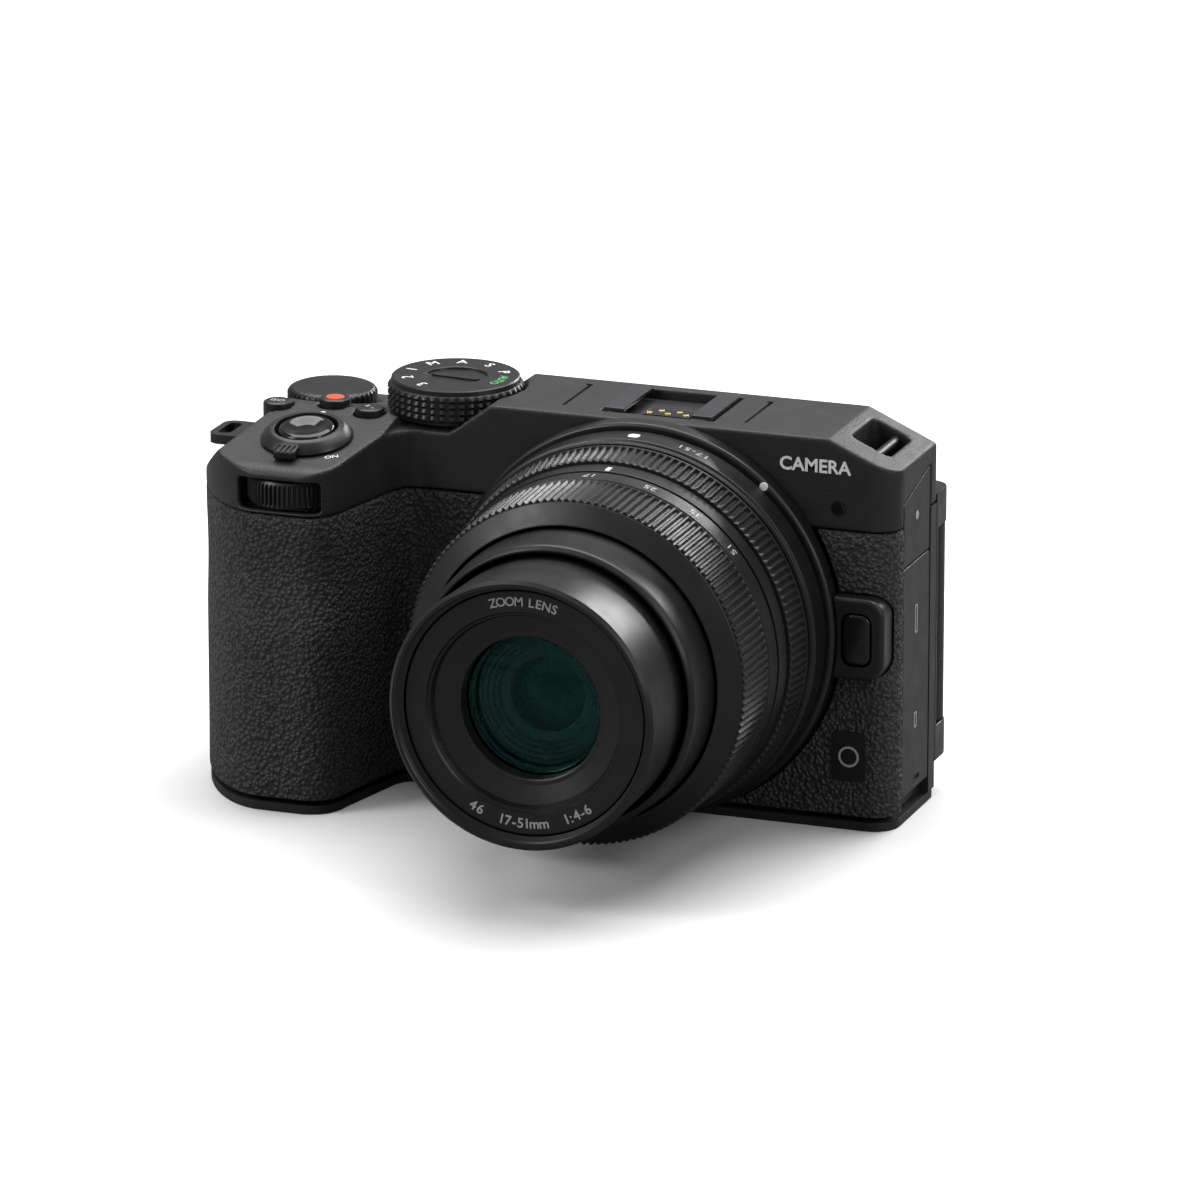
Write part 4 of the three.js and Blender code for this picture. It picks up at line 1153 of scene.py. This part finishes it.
def optics():
    """Front element, the coated elements behind it and the stepped black baffles between them; the baffles and iris
    plate are tinted teal as a painted reflection of the coatings, and a matt black disc behind the pupil is painted
    shade for the dark depth of the lens.
    """
    front = MOUNT - low("front_element").y
    back = MOUNT - high("front_element").y
    radius = high("front_element").x
    outer = glass_dome("front_element", radius, 2 * MM, front, back)
    dress(outer, "front_element", "glass")
    floor = MOUNT - low("aperture_unit").y
    profile = [(21.4 * MM, floor - 2.6 * MM), (21.4 * MM, floor), (radius, back - 0.5 * MM)]
    steps = 6
    for k in range(steps):
        share = k / steps
        r = radius * (0.98 - 0.4 * share)
        height = back - 0.6 * MM - (back - floor) * 0.8 * share
        profile += [(r, height), (r - 0.45 * MM, height - 0.1 * MM)]
    profile += [(6.4 * MM, floor + 0.5 * MM), (6.2 * MM, floor - 2.6 * MM)]
    # The cone's teal is a painted reflection of the coated glass on black baffles.
    cone = revolve("aperture_unit", LENS, profile, 128)
    dress(cone, "aperture_unit", "teal")
    second = glass_dome("second_element", 6.1 * MM, 1.6 * MM, floor + 1.2 * MM, floor - 1.6 * MM)
    detail(second, "aperture_unit", "inner_glass")
    pupil = [(2.1 * MM, floor - 2.4 * MM), (6.1 * MM, floor - 2.4 * MM), (6.1 * MM, floor - 2.2 * MM),
             (3.2 * MM, floor - 2.0 * MM), (2.3 * MM, floor - 2.2 * MM)]
    iris = revolve("iris_plate", LENS, pupil, 96)
    detail(iris, "aperture_unit", "teal")
    # Matt black disc behind the pupil: painted shade standing for the dark depth of the lens.
    pupil_shade = disc("pupil_shade_disc", LENS, 5.9 * MM, floor - 2.9 * MM, floor - 2.5 * MM)
    detail(pupil_shade, "aperture_unit", "matt")


# ---------------------------------------------------------------- controls

def knurled_dial(node, rows, teeth, depth, crown, recess=None):
    """Dial with rows of small pyramids round its rim."""
    spot = centre(node)
    radius = high(node).x - spot.x
    bottom = low(node).z
    top = high(node).z
    rim = top - bottom - crown
    foot = bottom + 0.5 * MM

    def profile(step):
        ring = [(0, bottom), (radius - depth * 1.6, bottom), (radius - depth * 1.6, foot)]
        for row in range(2 * rows + 1):
            height = foot + (rim - 0.5 * MM) * row / (2 * rows)
            valley = depth if row % 2 == 0 else 0.55 * depth * (step // 2 % 2)
            ring.append((radius - valley, height))
        ring += [(radius - depth * 1.5, bottom + rim + 0.1 * MM), (radius - 0.75 * MM, top - 0.2 * MM)]
        ring += [(radius - 1.0 * MM, top)]
        if recess:
            ring += [(recess + 0.25 * MM, top), (recess, top - 0.15 * MM), (recess - 0.1 * MM, top - 0.5 * MM)]
            return ring + [(0, top - 0.5 * MM)]
        return ring + [(radius * 0.45, top - 0.15 * MM), (0, top - 0.2 * MM)]
    return revolve(node, upright(spot.x, spot.y), profile, teeth * 4)


def mode_dial():
    node = "mode_dial"
    dial = knurled_dial(node, 4, 44, 0.42 * MM, 1.1 * MM, 5.6 * MM)
    dress(dial, node, "satin")
    spot = centre(node)
    top = high(node).z
    place = upright(spot.x, spot.y)
    spoke = prism("mode_dial_rib", round_rect(-4.6 * MM, 4.6 * MM, -0.8 * MM, 0.8 * MM, 0.7 * MM),
                  place @ Matrix.Rotation(math.radians(-5), 4, "Z"), top - 0.6 * MM, top - 0.15 * MM)
    detail(bevel(spoke, 0.12 * MM, 2), node, "satin")
    labels = []
    for k, letter in enumerate(("P", "S", "A", "M", "1", "2", "3")):
        labels += around(place, letter, 8.6 * MM, top, 31 + 36 * k, 2.0 * MM)
    lettering("mode_letters", node, "white", labels)
    lettering("mode_auto", node, "green", around(place, "AUTO", 8.7 * MM, top, -5, 1.5 * MM))


def main_dial():
    node = "main_command_dial"
    spot = centre(node)
    radius = high(node).x - spot.x
    bottom = low(node).z
    top = high(node).z

    def profile(step):
        notch = 0.35 * MM if step % 6 in (0, 1) else 0.0
        return [(0, bottom), (radius - 0.6 * MM, bottom), (radius - notch, bottom + 0.5 * MM),
                (radius - notch, top - 0.9 * MM), (radius - 0.4 * MM - notch * 0.5, top - 0.35 * MM),
                (radius - 1.0 * MM, top - 0.08 * MM), (radius - 1.8 * MM, top), (0, top - 0.1 * MM)]
    dial = revolve(node, upright(spot.x, spot.y), profile, 40 * 6)
    dress(dial, node, "satin")


def sub_dial():
    """Front dial behind its window: fine ribs between two plain flanges."""
    node = "sub_command_dial"
    spot = centre(node)
    radius = high(node).x - spot.x
    bottom = low(node).z
    top = high(node).z

    def profile(step):
        notch = 0.55 * MM if step % 4 > 1 else 0.0
        return [(0, bottom), (radius - 0.5 * MM, bottom), (radius - 0.3 * MM, bottom + 0.4 * MM),
                (radius - notch, bottom + 0.8 * MM), (radius - notch, top - 0.8 * MM),
                (radius - 0.3 * MM, top - 0.4 * MM), (radius - 0.5 * MM, top), (0, top)]
    dial = revolve(node, upright(spot.x, spot.y), profile, 60 * 4)
    dress(dial, node, "band")


def shutter_group():
    """Dished release button inside the conical power ring with its ribbed tab."""
    radius = high("shutter_button").x - centre("shutter_button").x
    rise = 2.5 * MM
    profile = [(0, -1 * MM), (radius, -1 * MM), (radius, rise - 0.8 * MM), (radius - 0.25 * MM, rise - 0.3 * MM),
               (radius - 0.9 * MM, rise), (radius - 1.6 * MM, rise - 0.12 * MM), (radius * 0.35, rise - 0.62 * MM),
               (0, rise - 0.7 * MM)]
    button = revolve("shutter_button", SEAT, rounded(profile, 0.15 * MM, 2), 128)
    dress(button, "shutter_button", "gloss")
    inner = radius + 0.5 * MM
    outer = 8.2 * MM
    top = 2.3 * MM
    ring = [(inner, GAP), (outer - 0.15 * MM, GAP), (outer, 0.5 * MM), (outer - 0.35 * MM, 1.1 * MM),
            (outer - 1.3 * MM, 2.0 * MM), (outer - 1.9 * MM, top), (inner + 0.15 * MM, top), (inner, top - 0.2 * MM)]
    lever = revolve("power_lever", SEAT, ring, 128)
    tab = prism("tab", round_rect(-2.5 * MM, 1.5 * MM, -outer - 2.1 * MM, -outer + 1.6 * MM, 0.7 * MM),
                SEAT, GAP, 2.0 * MM)
    bevel(tab, 0.35 * MM, 3)
    carve(lever, tab, "UNION")
    for k in range(4):
        x = -1.9 * MM + k * 0.95 * MM
        cut = block("rib", (x - 0.18 * MM, -outer - 2.4 * MM, 1.75 * MM), (x + 0.18 * MM, -outer + 0.6 * MM, 3 * MM))
        cut.data.transform(SEAT)
        carve(lever, cut)
    shade(lever.data)
    dress(lever, "power_lever", "satin")
    dot = SEAT @ Matrix.Translation((-1.2 * MM, 10.6 * MM, 0))
    detail(disc("power_index", dot, 0.55 * MM, -0.3 * MM, 0.1 * MM, 0.05 * MM, 32), "top_cover", "white")
    mark = SEAT @ Matrix.Translation((7.2 * MM, -6.6 * MM, 0.1 * MM)) @ Matrix.Rotation(0.5, 4, "Z")
    lettering("power_mark", "top_cover", "white", [("ON", mark, 1.1 * MM, 0.01)])


def round_button(node, place, radius, start, end, finish, dish=0.0):
    """Push button with a rounded rim and a slightly crowned or dished face."""
    profile = [(0, start), (radius, start), (radius, end - 0.55 * MM), (radius - 0.12 * MM, end - 0.25 * MM),
               (radius - 0.5 * MM, end - 0.04 * MM), (radius * 0.5, end - dish * 0.8), (0, end - dish)]
    button = revolve(node, place, profile, 72)
    return dress(button, node, finish)


def top_buttons():
    for node in TOP_BUTTONS:
        spot = centre(node)
        radius = high(node).x - spot.x
        round_button(node, upright(spot.x, spot.y), radius, low(node).z, high(node).z, "satin", 0.1 * MM)
    spot = centre("record_button")
    red = disc("record_dot", upright(spot.x, spot.y), 1.65 * MM, high("record_button").z - 0.4 * MM,
               high("record_button").z + 0.02 * MM, 0.12 * MM)
    detail(red, "record_button", "red")
    iso = centre("iso_button")
    place = Matrix.Translation((iso.x, iso.y, high("iso_button").z - 0.08 * MM))
    lettering("iso_mark", "iso_button", "grey", [("ISO", place, 1.25 * MM, 0.01)])
    comp = centre("exposure_button")
    place = Matrix.Translation((comp.x, comp.y, high("exposure_button").z - 0.08 * MM))
    lettering("exposure_mark", "exposure_button", "grey",
              [("+", place @ Matrix.Translation((-0.6 * MM, 0.4 * MM, 0)), 1.5 * MM, 0.02),
               ("-", place @ Matrix.Translation((0.7 * MM, -0.4 * MM, 0)), 1.5 * MM, 0.02)])


def rear_controls():
    marks = {"play_button": ">", "delete_button": "x", "zoom_in_button": "+", "zoom_out_button": "-",
             "menu_button": "="}
    for node in REAR_BUTTONS:
        spot = centre(node)
        radius = high(node).x - spot.x
        place = facing_back(spot.x, low(node).y, spot.z)
        depth = high(node).y - low(node).y
        round_button(node, place, radius, 0, depth, "satin", 0.08 * MM)
        face = facing_back(spot.x, high(node).y - 0.07 * MM, spot.z)
        lettering(node.replace("button", "mark"), node, "grey", [(marks[node], face, 1.7 * MM, 0.01)])
    pad = centre("multi_selector")
    radius = high("multi_selector").x - pad.x
    inner = high("ok_button").x - pad.x + GAP
    place = facing_back(pad.x, THUMB_BACK, pad.z)
    top = high("multi_selector").y - THUMB_BACK
    stem = radius - 2 * MM - 2 * GAP
    profile = [(inner, -1.2 * MM), (stem, -1.2 * MM), (stem, 2 * GAP), (radius, 2 * GAP), (radius, top - 0.7 * MM),
               (radius - 0.4 * MM, top - 0.15 * MM), (radius - 1.2 * MM, top), (inner + 1.2 * MM, top - 0.45 * MM),
               (inner, top - 0.7 * MM)]
    dress(revolve("multi_selector", place, rounded(profile, 0.15 * MM, 2), 144), "multi_selector", "satin")
    arrows = []
    for k in range(4):
        turn = Matrix.Rotation(math.pi / 2 * k, 4, "Z")
        spot = turn @ Matrix.Translation((0, radius - 2.2 * MM, top - 0.14 * MM))
        arrows.append(prism("arrow", [(-0.7 * MM, -0.4 * MM), (0.7 * MM, -0.4 * MM), (0, 0.5 * MM)],
                            place @ spot, -0.1 * MM, 0.05 * MM))
    detail(join(arrows[0], *arrows[1:]), "multi_selector", "grey").name = "pad_arrows"
    round_button("ok_button", place, high("ok_button").x - pad.x, -1.2 * MM,
                 high("ok_button").y - THUMB_BACK, "satin", 0.1 * MM)
    face = facing_back(pad.x, high("ok_button").y - 0.09 * MM, pad.z)
    lettering("ok_mark", "ok_button", "grey", [("OK", face, 1.5 * MM, 0.01)])
    selector = block("photo_movie_selector", (low("photo_movie_selector").x, THUMB_BACK + GAP,
                                              low("photo_movie_selector").z), high("photo_movie_selector"))
    bevel(selector, 0.5 * MM, 3)
    for k in range(-1, 2):
        x = centre("photo_movie_selector").x + k * 1.0 * MM
        carve(selector, block("rib", (x - 0.2 * MM, high("photo_movie_selector").y - 0.3 * MM, -FAR),
                              (x + 0.2 * MM, FAR, FAR)))
    shade(selector.data)
    dress(selector, "photo_movie_selector", "satin")


def front_buttons():
    for node in FRONT_BUTTONS:
        spot = centre(node)
        depth = high(node).y - low(node).y
        round_button(node, facing_front(spot.x, high(node).y, spot.z), high(node).x - spot.x, 0, depth,
                     "satin", 0.15 * MM)
    low_corner = low("lens_release_button")
    high_corner = high("lens_release_button")
    cap = round_rect(low_corner.x, high_corner.x, low_corner.z, high_corner.z, 1.7 * MM)
    button = prism("lens_release_button", cap, ELEVATION, low_corner.y, high_corner.y)
    dress(bevel(button, 0.7 * MM, 4), "lens_release_button", "gloss")


# ---------------------------------------------------------------- fittings

def hot_shoe():
    lowest = low("hot_shoe")
    highest = high("hot_shoe")
    middle = centre("hot_shoe")
    shoe = block("hot_shoe", lowest, highest)
    carve(shoe, block("channel", (middle.x - 9.3 * MM, -FAR, lowest.z + 0.8 * MM),
                      (middle.x + 9.3 * MM, FAR, highest.z - 0.7 * MM)))
    carve(shoe, block("mouth", (middle.x - 6.25 * MM, -FAR, lowest.z + 0.8 * MM), (middle.x + 6.25 * MM, FAR, FAR)))
    carve(shoe, drum("bite", upright(middle.x, lowest.y), 3.4 * MM, lowest.z + 0.5 * MM, FAR))
    dress(bevel(shoe, 0.15 * MM, 2), "hot_shoe", "rail")
    contacts = []
    plate = block("shoe_contacts", low("shoe_contacts"), high("shoe_contacts") - Vector((0, 0, 0.15 * MM)))
    for k in range(5):
        x = middle.x + (k - 2) * 1.7 * MM
        y = centre("shoe_contacts").y + (0.9 * MM if k % 2 else -0.7 * MM)
        contacts.append(disc("pin", upright(x, y), 0.55 * MM, low("shoe_contacts").z,
                             high("shoe_contacts").z, 0.1 * MM, 32))
    dress(plate, "shoe_contacts", "gloss")
    contacts = join(contacts[0], *contacts[1:])
    contacts.name = "shoe_pins"
    detail(contacts, "shoe_contacts", "gold")


def strap_fittings():
    node = "strap_loop_left"
    lowest = low(node)
    highest = high(node)
    loop = prism(node, round_rect(lowest.x, highest.x, lowest.y, highest.y, 2.2 * MM), PLAN, lowest.z, highest.z)
    slot = round_rect(lowest.x + 1.3 * MM, lowest.x + 3.8 * MM, lowest.y + 1.5 * MM, highest.y - 1.5 * MM, 1.2 * MM)
    carve(loop, prism("slot", slot, PLAN, -FAR, FAR))
    dress(bevel(loop, 0.5 * MM, 4), node, "dark_metal")
    node = "strap_bar_right"
    spot = centre(node)
    radius = high(node).x - spot.x
    bar = disc(node, facing_front(spot.x, high(node).y, spot.z), radius, 0, high(node).y - low(node).y, 0.2 * MM)
    dress(bar, node, "dark_metal")


def socket_covers():
    """Two rubber-hinged covers on the socket side with their raised icons."""
    outer = high("mic_cover").x
    inner = low("mic_cover").x
    split = low("mic_cover").z
    upper = prism("mic_cover", panel_outline(0, split), SIDE, inner, outer)
    dress(bevel(upper, 0.3 * MM, 3), "mic_cover", "panel")
    lower = prism("port_cover", panel_outline(0, None, high("port_cover").z), SIDE, inner, outer)
    thumb_slot = centre("port_cover")
    carve(lower, block("nail", (outer - 0.6 * MM, thumb_slot.y - 2.5 * MM, low("port_cover").z + 1.2 * MM),
                       (FAR, thumb_slot.y + 2.5 * MM, low("port_cover").z + 2.0 * MM)))
    dress(bevel(lower, 0.3 * MM, 3), "port_cover", "panel")
    y = centre("mic_cover").y
    plug = disc("mic_icon", facing_right(outer, y, split + 8 * MM), 0.8 * MM, -0.1 * MM, 0.06 * MM, 0.03 * MM, 32)
    detail(plug, "mic_cover", "grey")
    for name, z, half in (("link_icon", 36.2 * MM, 2.6 * MM), ("data_icon", 17.6 * MM, 1.4 * MM)):
        icon = prism(name, round_rect(y - 0.7 * MM, y + 0.7 * MM, z - half, z + half, 0.3 * MM), SIDE,
                     outer - 0.1 * MM, outer + 0.05 * MM)
        hole = prism("hole", round_rect(y - 0.4 * MM, y + 0.4 * MM, z - half + 0.3 * MM, z + half - 0.3 * MM, 0.2 * MM),
                     SIDE, outer - 0.3 * MM, outer + 0.3 * MM)
        detail(carve(icon, hole), "port_cover", "grey")


def monitor():
    node = "monitor_shell"
    left = low("monitor_shell").x
    right = left + 74.5 * MM
    bottom = low(node).z
    top = high(node).z
    front = low(node).y
    back = high(node).y
    shell = prism(node, round_rect(left, right, bottom, top, 3 * MM), ELEVATION, front, back)
    recess = round_rect(left + 2.4 * MM, right - 2.4 * MM, bottom + 2.8 * MM, top - 2.8 * MM, 1.5 * MM)
    bevel(shell, 0.8 * MM, 4)
    carve(shell, prism("recess", recess, ELEVATION, back - 1.6 * MM, FAR))
    hinge = centre("hinge_bracket")
    axis = (high("monitor_shell").x - 3.4 * MM, back - 4.2 * MM)
    knuckle = 6.5 * MM + GAP
    arm = block("arm", (right - 2 * MM, axis[1] - 1.4 * MM, bottom + knuckle), (axis[0], axis[1] + 1.4 * MM, top - knuckle))
    carve(shell, arm, "UNION")
    carve(shell, drum("barrel", upright(*axis), 3.4 * MM, bottom + knuckle, top - knuckle, 64), "UNION")
    shade(shell.data)
    dress(shell, node, "panel")
    pane_low = low("monitor_glass")
    pane_high = high("monitor_glass")
    pane = prism("monitor_glass", round_rect(pane_low.x, pane_high.x, pane_low.z, pane_high.z, 1.2 * MM),
                 ELEVATION, pane_low.y, pane_high.y)
    dress(bevel(pane, 0.2 * MM, 3), "monitor_glass", "screen")
    display = prism("monitor_display", round_rect(pane_low.x + 3.2 * MM, pane_high.x - 3.2 * MM, pane_low.z + 1.4 * MM,
                                                  pane_high.z - 1.4 * MM, 0.2 * MM), ELEVATION,
                    pane_high.y - 0.1 * MM, pane_high.y + 0.01 * MM)
    detail(display, "monitor_glass", "display")
    hinge_bracket(hinge, axis, knuckle - GAP)


def hinge_bracket(spot, axis, knuckle):
    node = "hinge_bracket"
    lowest = low(node)
    highest = high(node)
    bracket = block(node, lowest, (highest.x, axis[1] - 3.9 * MM, highest.z))
    for z0, z1 in ((lowest.z, lowest.z + knuckle), (highest.z - knuckle, highest.z)):
        carve(bracket, drum("knuckle", upright(*axis), 3.6 * MM, z0, z1, 64), "UNION")
        carve(bracket, block("cheek", (axis[0] - 2.4 * MM, lowest.y, z0), (highest.x, axis[1], z1)), "UNION")
    dress(bevel(bracket, 0.3 * MM, 2), node, "satin")


def thumb_rest():
    node = "thumb_rest"
    lowest = low(node)
    highest = high(node)
    pad = prism(node, round_rect(lowest.x, highest.x, lowest.z, highest.z, 4 * MM, 10), ELEVATION, lowest.y, highest.y)
    dress(bevel(pad, 1.2 * MM, 5), node, "thumb")


def front_details():
    """Focus lamp, wordmark, badge and the signal-coloured accent of the grip."""
    lamp = facing_front(AXIS.x + 35 * MM, FRONT, SEAM + 3.9 * MM)
    bezel = revolve("lamp_bezel", lamp, rounded([(1.2 * MM, -0.4 * MM), (1.5 * MM, -0.4 * MM), (1.5 * MM, 0.08 * MM),
                                                 (1.25 * MM, 0.08 * MM)], 0.05 * MM, 2), 64)
    detail(bezel, "top_cover", "satin")
    detail(disc("lamp_window", lamp, 1.25 * MM, -0.5 * MM, 0.02 * MM, 0.08 * MM), "top_cover", "gloss")
    words = facing_front(AXIS.x + 30.7 * MM, FRONT - 0.01 * MM, SEAM + 11.1 * MM)
    lettering("plain_word", "top_cover", "white", [("CAMERA", words, 2.3 * MM, 0.035)])
    plate = round_rect(AXIS.x + 34.2 * MM, AXIS.x + 40.5 * MM, 9.1 * MM, 18.1 * MM, 0.8 * MM)
    badge = prism("front_plate", plate, ELEVATION, FRONT - 0.25 * MM, FRONT + 0.5 * MM)
    detail(bevel(badge, 0.15 * MM, 2), "leatherette", "gloss")
    ring_place = facing_front(AXIS.x + 37.35 * MM, FRONT - 0.25 * MM, 13.6 * MM)
    ring = revolve("plate_ring", ring_place, rounded([(1.5 * MM, -0.1 * MM), (1.9 * MM, -0.1 * MM), (1.9 * MM, 0.08 * MM),
                                                      (1.5 * MM, 0.08 * MM)], 0.04 * MM, 2), 64)
    detail(ring, "leatherette", "grey")
    accent = block("grip_accent", (LEFT - 0.15 * MM, FRONT - 0.7 * MM, SEAM - 5.6 * MM),
                   (LEFT + 0.6 * MM, FRONT + 0.7 * MM, SEAM - 0.8 * MM))
    detail(bevel(accent, 0.2 * MM, 3), "grip_rubber", "red")


def internals():
    finishes = {
        "chassis": "dark_metal", "shutter_frame": "satin", "shutter_curtain": "dark_metal",
        "image_sensor": "sensor", "main_board": "board", "port_block": "satin",
        "battery": "label", "memory_card": "gloss",
    }
    for node, finish in finishes.items():
        kept(node, finish)


top_cover()
front_cover()
rubber_skins()
rear_cover()
base_plate()
mount_rings()
lens_base()
control_ring()
zoom_ring()
zoom_scale()
lens_marks()
middle_barrel()
front_barrel()
name_ring()
optics()
mode_dial()
main_dial()
sub_dial()
shutter_group()
top_buttons()
rear_controls()
front_buttons()
hot_shoe()
strap_fittings()
socket_covers()
monitor()
thumb_rest()
front_details()
internals()


# ---------------------------------------------------------------- stage

def floor():
    """Pale sweep that stays plain: a flat sheet with a barely uneven tone."""
    size = 6.0
    sheet = add_mesh("floor", [(-size, -size, 0), (size, -size, 0), (size, size, 0), (-size, size, 0)], [(0, 1, 2, 3)])
    sheet.data.materials.append(FINISHES["floor"])


def area_light(name, place, target, size, power, colour=(1, 1, 1)):
    lamp = bpy.data.lights.new(name, "AREA")
    lamp.shape = "RECTANGLE"
    lamp.size = size[0]
    lamp.size_y = size[1]
    lamp.energy = power
    lamp.color = colour
    holder = bpy.data.objects.new(name, lamp)
    holder.location = place
    aim = Vector(target) - Vector(place)
    holder.rotation_euler = aim.to_track_quat("-Z", "Y").to_euler()
    bpy.context.scene.collection.objects.link(holder)


def studio():
    target = (AXIS.x, MOUNT, AXIS.z)
    area_light("overhead", (0.0, 0.35, 1.1), target, (1.4, 0.9), 20)
    area_light("key", (-0.9, -0.7, 0.9), target, (0.5, 0.8), 9)
    area_light("strip_right", (1.0, -0.35, 0.6), target, (0.15, 0.9), 3)
    area_light("rim", (0.35, 1.3, 0.6), target, (0.7, 0.3), 9)
    world = bpy.data.worlds.new("studio")
    bpy.context.scene.world = world
    world.use_nodes = True
    background = world.node_tree.nodes["Background"]
    background.inputs["Color"].default_value = (0.95, 0.96, 1.0, 1)
    background.inputs["Strength"].default_value = 0.32


def photo_camera():
    """Camera at the viewing angle of the picture, turned and raised by these angles."""
    azimuth = math.radians(20.1)
    elevation = math.radians(16.72)
    distance = 1.6409
    right = Vector((math.cos(azimuth), math.sin(azimuth), 0))
    back = Vector((math.sin(azimuth) * math.cos(elevation), -math.cos(azimuth) * math.cos(elevation),
                   math.sin(elevation)))
    up = back.cross(right)
    aim = Vector((AXIS.x, MOUNT, 0.035))
    lens = bpy.data.cameras.new("view")
    lens.lens = 280.4
    lens.sensor_width = 36
    lens.clip_start = 0.05
    holder = bpy.data.objects.new("view", lens)
    turn = Matrix((right, up, back)).transposed().to_4x4()
    holder.matrix_world = Matrix.Translation(aim - 7.18 * MM * right + 4.33 * MM * up + distance * back) @ turn
    bpy.context.scene.collection.objects.link(holder)
    bpy.context.scene.camera = holder


floor()
studio()
bpy.context.scene.view_settings.view_transform = "Standard"
photo_camera()
